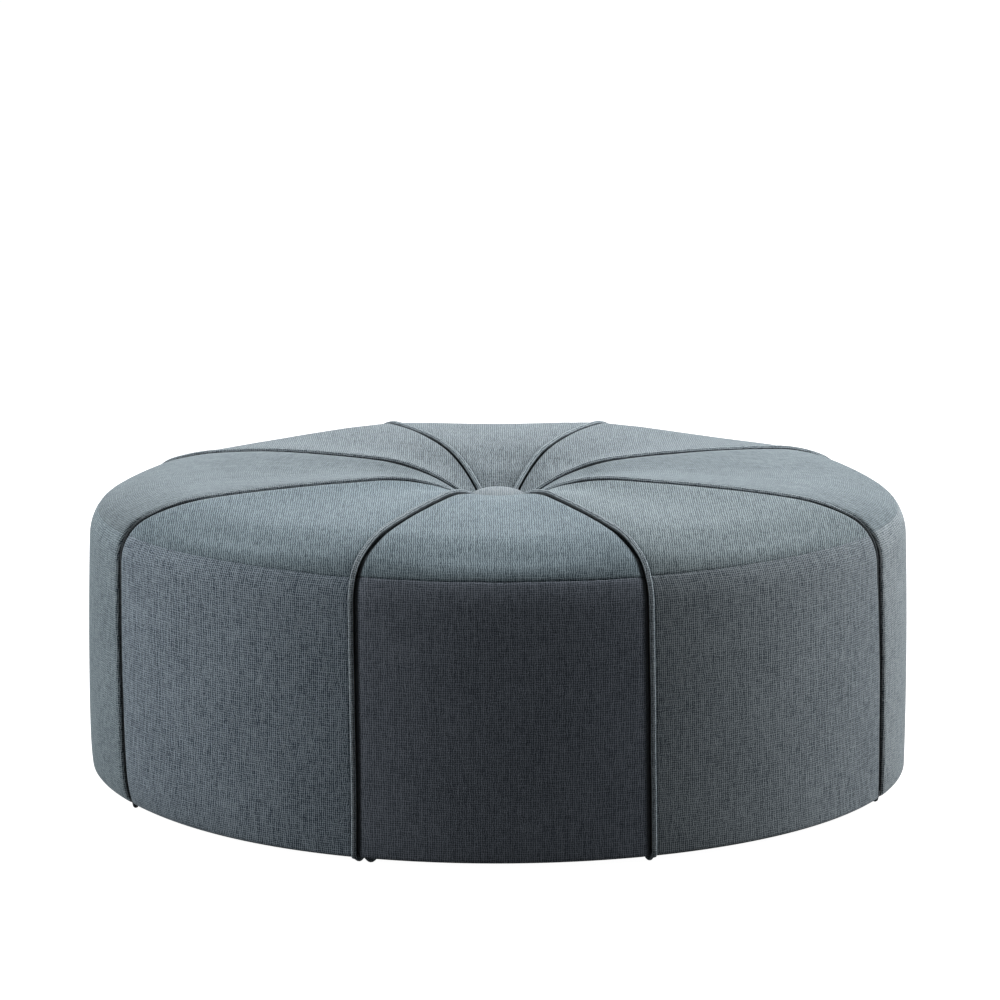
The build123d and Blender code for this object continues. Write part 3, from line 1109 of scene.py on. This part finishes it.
def grow(piece: bpy.types.Object, tree: bpy.types.NodeTree, sizes: dict) -> bpy.types.Object:
    """Runs a tree on a piece and keeps the result as a plain mesh.

    Args:
        piece: The path that the tree follows.
        tree: The Geometry Nodes tree.
        sizes: Input names and values.

    Returns:
        A new piece of the same name.
    """
    name = piece.name
    modifier = piece.modifiers.new("grow", "NODES")
    modifier.node_group = tree
    for item in tree.interface.items_tree:
        if item.in_out == "INPUT" and item.name in sizes:
            modifier[item.identifier] = sizes[item.name]
    shown = piece.evaluated_get(bpy.context.evaluated_depsgraph_get())
    mesh = bpy.data.meshes.new_from_object(shown)
    bpy.data.objects.remove(piece)
    mesh.name = name
    grown = bpy.data.objects.new(name, mesh)
    bpy.context.scene.collection.objects.link(grown)
    return grown


def cord_tree(material: bpy.types.Material) -> bpy.types.NodeTree:
    """Tree that lays a round covered cord along a path and keeps the run and girth at each vertex.

    Args:
        material: Finish of the cord's cover.

    Returns:
        The tree.
    """
    tree, given = new_tree("welt_cord", {"Radius": 3.7 * MM}, material)
    curve = put(tree, "GeometryNodeMeshToCurve", {0: given.outputs["Geometry"]})
    ring = put(tree, "GeometryNodeCurvePrimitiveCircle", {"Resolution": 14, "Radius": given.outputs["Radius"]})
    run = put(tree, "GeometryNodeSplineParameter")
    held = put(tree, "GeometryNodeStoreNamedAttribute", {0: curve.outputs[0], "Name": "run",
               "Value": run.outputs["Length"]}, data_type="FLOAT", domain="POINT")
    round_run = put(tree, "GeometryNodeStoreNamedAttribute", {0: ring.outputs[0], "Name": "girth",
                    "Value": run.outputs["Length"]}, data_type="FLOAT", domain="POINT")
    tube = put(tree, "GeometryNodeCurveToMesh", {0: held.outputs[0], 1: round_run.outputs[0],
                                                 "Fill Caps": True})
    smooth = put(tree, "GeometryNodeSetShadeSmooth", {0: tube.outputs[0]})
    close_tree(tree, smooth.outputs[0], given.outputs["Material"])
    return tree


def staple_tree(material: bpy.types.Material) -> bpy.types.NodeTree:
    """Tree that drives flat-crowned staples at even steps along a path, each at its own slight turn.

    Args:
        material: Finish of the wire.

    Returns:
        The tree.
    """
    tree, given = new_tree("staples", {"Pitch": 60.0 * MM, "Crown": 11.0 * MM, "Wire": 1.2 * MM, "Rise": 0.6 * MM},
                           material)
    curve = put(tree, "GeometryNodeMeshToCurve", {0: given.outputs["Geometry"]})
    points = put(tree, "GeometryNodeCurveToPoints", {0: curve.outputs[0], "Length": given.outputs["Pitch"]},
                 mode="LENGTH")
    size = put(tree, "ShaderNodeCombineXYZ", {0: given.outputs["Crown"], 1: given.outputs["Wire"],
                                              2: given.outputs["Rise"]})
    crown = put(tree, "GeometryNodeMeshCube", {"Size": size.outputs[0]})
    along = put(tree, "FunctionNodeAlignEulerToVector", {"Vector": points.outputs["Tangent"]}, axis="X")
    lean = put(tree, "FunctionNodeRandomValue", {2: -0.5, 3: 0.5, "Seed": 5}, data_type="FLOAT")
    turn = put(tree, "ShaderNodeCombineXYZ", {2: lean.outputs[1]})
    placed = put(tree, "GeometryNodeInstanceOnPoints", {"Points": points.outputs[0],
                 "Instance": crown.outputs[0], "Rotation": along.outputs[0]})
    leant = put(tree, "GeometryNodeRotateInstances", {0: placed.outputs[0], "Rotation": turn.outputs[0]})
    close_tree(tree, leant.outputs[0], given.outputs["Material"])
    return tree


@dataclass
class Underside:
    """Black dust cover stretched under the base board, and the staples that hold its edge."""

    cover: Cover
    inset: float = 24.0 * MM
    top: float = 7.9 * MM
    thickness: float = 0.5 * MM
    ripple: float = 0.25 * MM
    ripples: int = 56
    slack_pitch: float = 0.7
    slack_turn: float = 3.0
    slack_seed: int = 17
    rings: int = 26
    sides: int = 336
    staple_inset: float = 9.0 * MM
    staple_pitch: float = 57.0 * MM

    def build(self, cloth: bpy.types.Material, wire: bpy.types.Material) -> None:
        """Builds the sheet and its staples.

        Args:
            cloth: Finish of the dust cover.
            wire: Finish of the staples.
        """
        long, wide = self.cover.length / 2 - self.inset, self.cover.width / 2 - self.inset
        turns = np.linspace(0, 2 * math.pi, self.sides, endpoint=False)
        face = self.top - self.thickness
        rows = [(0.0, 0.0, face)]
        for share in np.linspace(0, 1, self.rings)[1:]:
            drawn = self.ripple * share ** 12 * (0.5 + 0.5 * np.cos(self.ripples * turns))
            slack = 1 + smooth_noise((turns + self.slack_turn) * share, self.slack_pitch, self.slack_seed)
            slack = slack * 2 * self.ripple * share * (1 - share)
            rows += list(oval_ring(turns, long * share, wide * share, face - drawn - slack))
        low = np.array(rows)
        points = np.concatenate([low, low + (0.0, 0.0, self.thickness)])
        half, count, rings = len(low), self.sides, self.rings - 1
        faces = grid_faces(rings, count, 1, loop=True) + grid_faces(rings, count, half + 1, loop=True)
        rim = 1 + (rings - 1) * count
        for n in range(count):
            m = (n + 1) % count
            faces += [(0, 1 + n, 1 + m), (half, half + 1 + m, half + 1 + n),
                      (rim + n, half + rim + n, half + rim + m, rim + m)]
        sheet = mesh_object("dust_cover_cloth", points, faces)
        paint(sheet, cloth)
        fit(sheet, "dust_cloth", "dust_cover")
        path = oval_ring(turns, long - self.staple_inset, wide - self.staple_inset, face - 2 * self.ripple)
        staples = grow(path_object("dust_cover_staples", path, closed=True), staple_tree(wire),
                       {"Pitch": self.staple_pitch})
        fit(staples, "steel_wire")


@dataclass(frozen=True)
class Tail:
    """How a welt's free end lies under the foot: its shift to the side and its number of bends."""

    aside: float = 0.0
    bends: int = 1


@dataclass
class Welts:
    """The eight covered cords."""

    upholstery: Upholstery
    radius: float = 3.7 * MM
    lift: float = -0.1 * MM
    foot_tail: float = 8.0 * MM
    floor_gap: float = 0.8 * MM
    tail_drop: float = 3.6 * MM
    tail_rise: float = 3.0 * MM
    tail_ease: float = 3.0 * MM
    tail_steps: int = 24
    step: float = 5.0 * MM
    button_gap: float = 8.0 * MM
    button_dip: float = 2.4 * MM
    button_fade: float = 45.0 * MM
    sunk_to: float = 0.5
    # Depths of a cord's surface over which its painted shade goes from none to quite dark
    open_to: float = -1.6 * MM
    dark_from: float = 1.4 * MM
    tails: dict = field(default_factory=lambda: {
        Welt.FRONT_LEFT: Tail(29.0 * MM, 2), Welt.FRONT_RIGHT: Tail(-9.0 * MM, 1)})
    # Cords sunk deep in their seam, which the painted shade turns dark along the side
    sunk: dict = field(default_factory=lambda: {Welt.LEFT_FRONT: 8.5 * MM, Welt.RIGHT_FRONT: 8.5 * MM})

    def build(self, cloth: bpy.types.Material) -> None:
        """Lays each cord from its tail under the foot to the button.

        Args:
            cloth: Finish of the cord's cover.
        """
        cover = self.upholstery.cover
        tree = cord_tree(cloth)
        end = cover.end - self.button_gap
        places = np.concatenate([
            np.linspace(cover.foot - self.foot_tail, cover.foot, self.tail_steps, endpoint=False),
            np.linspace(cover.foot, end, round((end - cover.foot) / self.step))])
        under = np.maximum(cover.foot - places, 0)
        share = under / self.foot_tail
        inside = np.clip(under / self.tail_ease, 0, 1)
        ends = np.clip((cover.end - places) / self.button_fade, 0, 1)
        slow = self.tail_ease / self.foot_tail
        for welt in Welt:
            sunk = self.sunk.get(welt, 0.0) * bell(places, self.sunk_to, 8)
            lift = (self.lift - sunk) * ends - self.button_dip * (1 - ends)
            tail = self.tails.get(welt, Tail())
            dip = np.sin(math.pi * tail.bends * share) ** 2
            lift = lift * (1 - inside) + inside * (self.tail_drop * dip - self.tail_rise * (1 - dip))
            aside = tail.aside * share ** 2 * (1 + slow) / (share + slow)
            line = self.line(welt.value, lift, aside, places)
            above = self.line(welt.value, lift + self.radius, aside, places)
            piece = grow(path_object("welt_cord_" + welt.name.lower(), line), tree, {"Radius": self.radius})
            outwards(piece)
            self.shade(piece, weave_from_run(piece), line, above, sunk)
            fit(piece, "welt_cloth", "welt_" + welt.name.lower())

    def line(self, welt: int, lift: np.ndarray, aside: np.ndarray, places: np.ndarray) -> np.ndarray:
        """Middle line of one cord; its tail lies under the foot, just above the floor.

        Args:
            welt: Number of the welt.
            lift: Height of the line over the plain cover.
            aside: Shift of the line anticlockwise from its seam.
            places: Lengths along the section.

        Returns:
            Points from the tail to the button.
        """
        points = self.upholstery.welt_line(welt, lift, aside, places)
        points[:, 2] = np.maximum(points[:, 2], self.floor_gap + self.radius)
        return points

    def shade(self, piece: bpy.types.Object, run: np.ndarray, line: np.ndarray, above: np.ndarray,
              sunk: np.ndarray) -> None:
        """Stores how deep each vertex of a cord lies, for painted shade that darkens its flanks towards the seam
        and a sunk cord all round.

        Args:
            piece: The cord.
            run: Length along the cord at each vertex.
            line: Middle line of the cord.
            above: The same line, raised by the cord's radius.
            sunk: Depth of the line below its usual height.
        """
        along = np.concatenate([[0.0], np.cumsum(np.linalg.norm(np.diff(line, axis=0), axis=1))])
        points = np.array([vertex.co for vertex in piece.data.vertices])
        middle, up = [np.stack([np.interp(run, along, values[:, axis]) for axis in range(3)], axis=1)
                      for values in (line, (above - line) / self.radius)]
        depth = np.interp(run, along, sunk) - ((points - middle) * up).sum(axis=1)
        store_painted_shade(piece, depth, self.open_to, self.dark_from)


def weave_from_run(piece: bpy.types.Object) -> np.ndarray:
    """Turns a cord's stored run and girth into its weave map.

    Args:
        piece: The cord, as its tree grew it.

    Returns:
        The run at each vertex.
    """
    run, girth = (np.zeros(len(piece.data.vertices), np.float32) for _ in range(2))
    piece.data.attributes["run"].data.foreach_get("value", run)
    piece.data.attributes["girth"].data.foreach_get("value", girth)
    store_weave(piece, np.stack([girth, run], axis=1))
    return run


@dataclass
class Button:
    """The covered button: domed cloth, gathered a little at its edge and turned under."""

    radius: float = 42.0 * MM
    seat_radius: float = 34.0 * MM
    edge_rise: float = 9.0 * MM
    dome_rise: float = 13.5 * MM
    back_height: float = 400.1 * MM
    opening: float = 24.0 * MM
    thickness: float = 1.2 * MM
    pleats: int = 22
    pleat_depth: float = 0.35 * MM
    pleat_reach: float = 7.0 * MM
    bulge: float = 1.6 * MM
    edge_steps: int = 6
    dome_steps: int = 15
    sides: int = 132

    def build(self, cloth: bpy.types.Material) -> None:
        """Builds the button's cloth over its disc and pad.

        Args:
            cloth: Finish of the cloth.
        """
        turns = np.linspace(0, 2 * math.pi, self.sides, endpoint=False)
        outer, inner = self.section(0.0), self.section(self.thickness)[::-1]
        rows = np.concatenate([outer, inner])
        points = []
        for radius, height in rows:
            gather = bell(radius - self.radius, self.pleat_reach) * self.pleat_depth
            wave = gather * np.sin(self.pleats * turns + 0.6 * np.sin(3 * turns))
            reach = radius + wave * (radius > self.opening + MM)
            points.append(oval_ring(turns, reach, reach, height))
        flat, count = np.concatenate(points), self.sides
        turn, last = len(outer) * count, (len(rows) - 1) * count
        faces = grid_faces(len(outer), count, loop=True) + grid_faces(len(inner), count, turn, loop=True)
        faces += [(last + n, last + (n + 1) % count, (n + 1) % count, n) for n in range(count)]
        faces += [tuple(turn - count + n for n in range(count)), tuple(turn + n for n in range(count))]
        piece = mesh_object("button_cloth", flat, faces)
        store_weave(piece, flat[:, :2])
        paint(piece, cloth)
        fit(piece, "button_cloth", "button_cover")

    def section(self, inset: float) -> np.ndarray:
        """Half section from the opening at the back to the crown.

        Args:
            inset: How far it is moved inwards.

        Returns:
            Rows of radius and height.
        """
        edge = self.back_height + self.edge_rise
        rows = [(self.opening, self.back_height + inset), (self.seat_radius - inset, self.back_height + inset)]
        for n in range(1, self.edge_steps + 1):
            share = n / self.edge_steps
            bulge = self.bulge * math.sin(math.pi * share)
            across = self.seat_radius + (self.radius - self.seat_radius) * share
            rows.append((across + bulge - inset, self.back_height + self.edge_rise * share))
        for n in range(1, self.dome_steps):
            angle = math.pi / 2 * n / self.dome_steps
            rows.append(((self.radius - inset) * math.cos(angle),
                         edge + (self.dome_rise - inset) * math.sin(angle)))
        return np.array(rows)


@dataclass
class Foam:
    """Foam under the cloth: the crowned cushion and the two halves round the frame."""

    upholstery: Upholstery
    depth: float = 10.0 * MM
    board_top: float = 362.1 * MM
    twine_hole: float = 10.0 * MM
    wall_inset: float = 37.6 * MM
    over_board: float = 0.4 * MM
    under_board: float = 0.6 * MM
    well_gap: float = 0.5 * MM
    side_start: float = 15.0 * MM
    parting: float = 0.001  # radians from the plane in which the two halves meet
    cushion_rows: int = 46
    side_rows: int = 24
    columns: int = 288

    def build(self, foam: bpy.types.Material) -> None:
        """Builds the three foam pieces.

        Args:
            foam: Finish of the foam.
        """
        turns = np.linspace(0, 2 * math.pi, self.columns, endpoint=False)
        cover, base = self.upholstery.cover, self.board_top + self.over_board
        rows = self.under(turns, np.linspace(cover.place_of(base), cover.end - self.well_gap, self.cushion_rows))
        rows[:, 0, 2] = base
        hole = [oval_ring(turns, self.twine_hole, self.twine_hole, z)[:, None] for z in (rows[0, -1, 2], base)]
        self.closed("cushion_foam", np.concatenate([rows] + hole, axis=1), True, foam, "top_foam")
        long, wide = cover.length / 2 - self.wall_inset, cover.width / 2 - self.wall_inset
        places = np.linspace(cover.place_of(self.side_start),
                             cover.place_of(self.board_top - self.under_board), self.side_rows)
        for name, start in (("front", math.pi), ("back", 0.0)):
            turns = np.linspace(start + self.parting, start + math.pi - self.parting, self.columns // 2)
            outer = self.under(turns, places)
            inner = [oval_ring(turns, long, wide, outer[0, at, 2])[:, None] for at in (-1, 0)]
            self.closed("side_foam_pad_" + name, np.concatenate([outer] + inner, axis=1), False, foam,
                        "side_foam_" + name)

    def under(self, turns: np.ndarray, places: np.ndarray) -> np.ndarray:
        """Points below the cover's face, clear of the cloth and its seams.

        Args:
            turns: Ellipse angles of the columns.
            places: Lengths along the section of the rows.

        Returns:
            Grid of points.
        """
        spread = np.meshgrid(turns, places, indexing="ij")
        cover = self.upholstery.cover
        depth = self.depth + self.upholstery.fallen(*spread)
        below = cover.at(*spread) - cover.normals(*spread) * depth[..., None]
        return below + self.upholstery.tuck(*spread)

    def closed(self, name: str, grid: np.ndarray, around: bool, foam: bpy.types.Material, node: str) -> None:
        """Closes a loop of rows into a solid, right round or between two ends, and finishes it.

        Args:
            name: Name of the piece.
            grid: Columns of points, each a closed loop.
            around: Whether the last column joins the first.
            foam: Finish of the foam.
            node: CAD node that it replaces.
        """
        wide, high = grid.shape[:2]
        faces = grid_faces(wide, high, ring=around, loop=True)
        if not around:
            faces += [tuple(range(high)), tuple((wide - 1) * high + j for j in reversed(range(high)))]
        piece = mesh_object(name, grid.reshape(-1, 3), faces, smooth=False)
        paint(piece, foam)
        fit(piece, "foam", node)


@dataclass(frozen=True)
class Lamp:
    """A soft square lamp: where it hangs, what it points at, length of its side and power in watts."""

    name: str
    place: tuple
    aim: tuple
    size: float
    power: float


@dataclass
class Studio:
    """Camera, lamps, pale floor and white backdrop."""

    camera_place: tuple = (-39.60 * MM, -4203.12 * MM, 1438.45 * MM)
    aim: tuple = (2.71 * MM, 0.0, 405.2 * MM)
    roll: float = 0.039
    lens: float = 105.56
    sensor: float = 36.0
    far: float = 100.0
    ambient: float = 0.11
    floor_half: float = 30.0
    floor_glow: float = 0.98
    lamps: tuple = (Lamp("back_lamp", (0.3, 2.8, 2.7), (0.0, 0.0, 0.4), 4.2, 132.0),
                    Lamp("left_lamp", (-2.8, -0.5, 1.7), (0.0, 0.0, 0.25), 1.4, 52.0),
                    Lamp("right_lamp", (2.8, 0.0, 1.8), (0.0, 0.0, 0.25), 1.4, 74.0))

    def build(self) -> None:
        """Sets up the whole studio."""
        self.camera()
        for lamp in self.lamps:
            self.hang(lamp)
        self.world()
        self.floor()
        view = bpy.context.scene.view_settings
        view.view_transform = "Standard"

    def camera(self) -> None:
        """Places the camera at the photograph's viewing angle."""
        data = bpy.data.cameras.new("studio_camera")
        data.lens = self.lens
        data.sensor_width = self.sensor
        data.sensor_fit = "HORIZONTAL"
        data.clip_end = self.far
        camera = bpy.data.objects.new("studio_camera", data)
        bpy.context.scene.collection.objects.link(camera)
        camera.location = self.camera_place
        aim = Vector(self.aim) - Vector(self.camera_place)
        spin = Matrix.Rotation(math.radians(self.roll), 3, Vector((0, 0, 1)))
        camera.rotation_euler = (aim.to_track_quat("-Z", "Y").to_matrix() @ spin).to_euler()
        bpy.context.scene.camera = camera

    def hang(self, lamp: Lamp) -> None:
        """Adds a lamp.

        Args:
            lamp: The lamp.
        """
        data = bpy.data.lights.new(lamp.name, "AREA")
        data.shape = "SQUARE"
        data.size = lamp.size
        data.energy = lamp.power
        light = bpy.data.objects.new(lamp.name, data)
        bpy.context.scene.collection.objects.link(light)
        light.location = lamp.place
        light.rotation_euler = (Vector(lamp.aim) - Vector(lamp.place)).to_track_quat("-Z", "Y").to_euler()

    def world(self) -> None:
        """White to the camera and in reflections, and a low even light on the object."""
        world = bpy.data.worlds.new("studio")
        world.use_nodes = True
        tree = world.node_tree
        tree.nodes.clear()
        seen = self.seen(tree)
        dim = put(tree, "ShaderNodeBackground", {"Color": linear("FFFFFF"), "Strength": self.ambient})
        white = put(tree, "ShaderNodeBackground", {"Color": linear("FFFFFF"), "Strength": 1.0})
        both = put(tree, "ShaderNodeMixShader", {0: seen, 1: dim.outputs[0], 2: white.outputs[0]})
        put(tree, "ShaderNodeOutputWorld", {"Surface": both.outputs[0]})
        bpy.context.scene.world = world

    def seen(self, tree: bpy.types.NodeTree) -> bpy.types.NodeSocket:
        """One for camera, glossy and transmission rays.

        Args:
            tree: Tree of the world or of a material.

        Returns:
            The socket.
        """
        ray = put(tree, "ShaderNodeLightPath")
        first = put(tree, "ShaderNodeMath", {0: ray.outputs["Is Camera Ray"], 1: ray.outputs["Is Glossy Ray"]},
                    operation="MAXIMUM")
        last = put(tree, "ShaderNodeMath", {0: first.outputs[0], 1: ray.outputs["Is Transmission Ray"]},
                   operation="MAXIMUM")
        return last.outputs[0]

    def floor(self) -> None:
        """Pale floor that keeps a soft shadow and blends into the white backdrop."""
        corners = np.array([(-1, -1, 0), (1, -1, 0), (1, 1, 0), (-1, 1, 0)]) * self.floor_half
        floor = mesh_object("studio_floor", corners, [(0, 1, 2, 3)], smooth=False, closed=False)
        material, tree = new_material("studio_floor_paint")
        matt = put(tree, "ShaderNodeBsdfDiffuse", {"Color": linear("B8B8B8")})
        glow = put(tree, "ShaderNodeEmission", {"Color": linear("FFFFFF"), "Strength": self.floor_glow})
        both = put(tree, "ShaderNodeAddShader", {0: matt.outputs[0], 1: glow.outputs[0]})
        dim = put(tree, "ShaderNodeBsdfDiffuse", {"Color": linear("4C4C4C")})
        mixed = put(tree, "ShaderNodeMixShader", {0: self.seen(tree), 1: dim.outputs[0], 2: both.outputs[0]})
        put(tree, "ShaderNodeOutputMaterial", {"Surface": mixed.outputs[0]})
        paint(floor, material)


# Finishes of what the cover hides, each with what it gives the eye
HIDDEN_FINISHES = (
    # Pale long grain, hardly shiny
    Plain("birch_plywood", "B08E60", "CBAA7C", 0.6, stretch=(0.15, 1.0, 1.0), size=6.0),
    # Warm streaks up the post
    Plain("sawn_softwood", "B98F5C", "D8B684", 0.65, stretch=(1.0, 1.0, 0.12), size=5.0),
    # Dark brown fibre, smooth
    Plain("bent_hardboard", "5A4029", "745639", 0.55, size=2.0),
    # Tan, with close grain
    Plain("turned_beech", "B58A5E", "CDA67A", 0.5, stretch=(0.2, 1.0, 1.0), size=4.0),
    # Bright cool grey metal
    Plain("galvanised_wire", "9A9DA0", "C6C8CA", 0.35, metallic=1.0, size=3.0, bump=0.1),
    # Black with a soft shine
    Plain("moulded_polyethylene", "1C1C1D", "262627", 0.45, size=1.5, bump=0.1),
    # Straw, rough with its lay
    Plain("waxed_twine", "B9A985", "D6C8A6", 0.7, size=0.6, bump=0.6),
    # Cream, open-pored and matt
    Plain("polyurethane_foam", "D9D1A8", "ECE6C6", 0.9, size=1.6, bump=0.8),
    # Matt black felted fibre
    Plain("black_nonwoven_cloth", "141415", "242426", 0.85, size=1.2, bump=0.8),
)


# Darkest thread, palest thread and half the range of shade from one to the other, for each piece of
# cloth: the lie of the threads differs from piece to piece, which parts gore from gore at the seams, and the tones
# also hold painted shade and light, the end pieces set paler or darker for how the lamps fall on them
FRONT_GORE = ("3B4851", "9DAEB6", 0.14)
FRONT_RIGHT_GORE = ("3E494F", "A2B0B5", 0.14)
BACK_GORE = ("40484E", "A0ACB2", 0.15)
END_GORE = ("3F494F", "A0ADB3", 0.19)
LEFT_SIDE = ("3C4853", "ACBAC5", 0.11)
RIGHT_SIDE = ("464F57", "A7B1B7", 0.12)
PANEL_TONES_AND_PAINTED_SHADE = {
    ("top", Panel.FRONT): FRONT_GORE, ("top", Panel.FRONT_LEFT): FRONT_GORE,
    ("top", Panel.FRONT_RIGHT): FRONT_RIGHT_GORE,
    ("top", Panel.BACK): BACK_GORE, ("top", Panel.BACK_LEFT): BACK_GORE, ("top", Panel.BACK_RIGHT): BACK_GORE,
    ("top", Panel.LEFT): END_GORE, ("top", Panel.RIGHT): END_GORE,
    # Painted shade: the side panels at the front and back are a darker copy of the side cloth, for the shade the
    # front stands in
    ("side", Panel.FRONT): ("3A424B", "979FAB", 0.17), ("side", Panel.BACK): ("3A424B", "979FAB", 0.17),
    ("side", Panel.LEFT): ("414F57", "B0BFC6", 0.11), ("side", Panel.RIGHT): ("49545A", "BDC6CB", 0.12),
    ("side", Panel.FRONT_LEFT): LEFT_SIDE, ("side", Panel.FRONT_RIGHT): RIGHT_SIDE,
    ("side", Panel.BACK_LEFT): LEFT_SIDE, ("side", Panel.BACK_RIGHT): RIGHT_SIDE}


# Finish of each CAD node that the scene keeps, by the start of its name
NODE_FINISHES = {
    "birch_plywood": ("base_board", "top_board"), "sawn_softwood": ("post_", "top_rail"),
    "bent_hardboard": ("wall_",), "turned_beech": ("button_disc", "twine_toggle"),
    "galvanised_wire": ("base_staples", "top_staples", "glide_nails"),
    "moulded_polyethylene": ("glides",), "waxed_twine": ("tufting_twine",),
    "polyurethane_foam": ("button_pad",)}


def main() -> None:
    """Builds the ottoman's looks in order."""
    logging.basicConfig(level=logging.INFO, format="%(message)s")
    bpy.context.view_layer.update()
    finishes = {finish.name: finish.build() for finish in HIDDEN_FINISHES}
    for name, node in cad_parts.items():
        for finish, starts in NODE_FINISHES.items():
            if name.startswith(starts):
                paint(node, finishes[finish])
    cover = Cover()
    swell = Swell(cover)
    swell.run()
    upholstery = Upholstery(cover, swell)
    for panel in Panel:
        for kind, node in (("top", "top_gore_"), ("side", "side_panel_")):
            piece = upholstery.piece(kind, panel)
            look = LinenLook(f"linen_look_{kind}_{panel.name.lower()}", *PANEL_TONES_AND_PAINTED_SHADE[(kind, panel)])
            paint(piece, look.build())
            fit(piece, "cover_cloth", node + panel.name.lower())
    Welts(upholstery).build(LinenLook("linen_look_welt", "4A545C", "BAC6CC", slub=8.0).build())
    Button().build(LinenLook("linen_look_button", "69737A", "A9B2B7", slub=20.0).build())
    Foam(upholstery).build(finishes["polyurethane_foam"])
    Underside(cover).build(finishes["black_nonwoven_cloth"], finishes["galvanised_wire"])
    Studio().build()


if __name__ == "__main__":
    main()
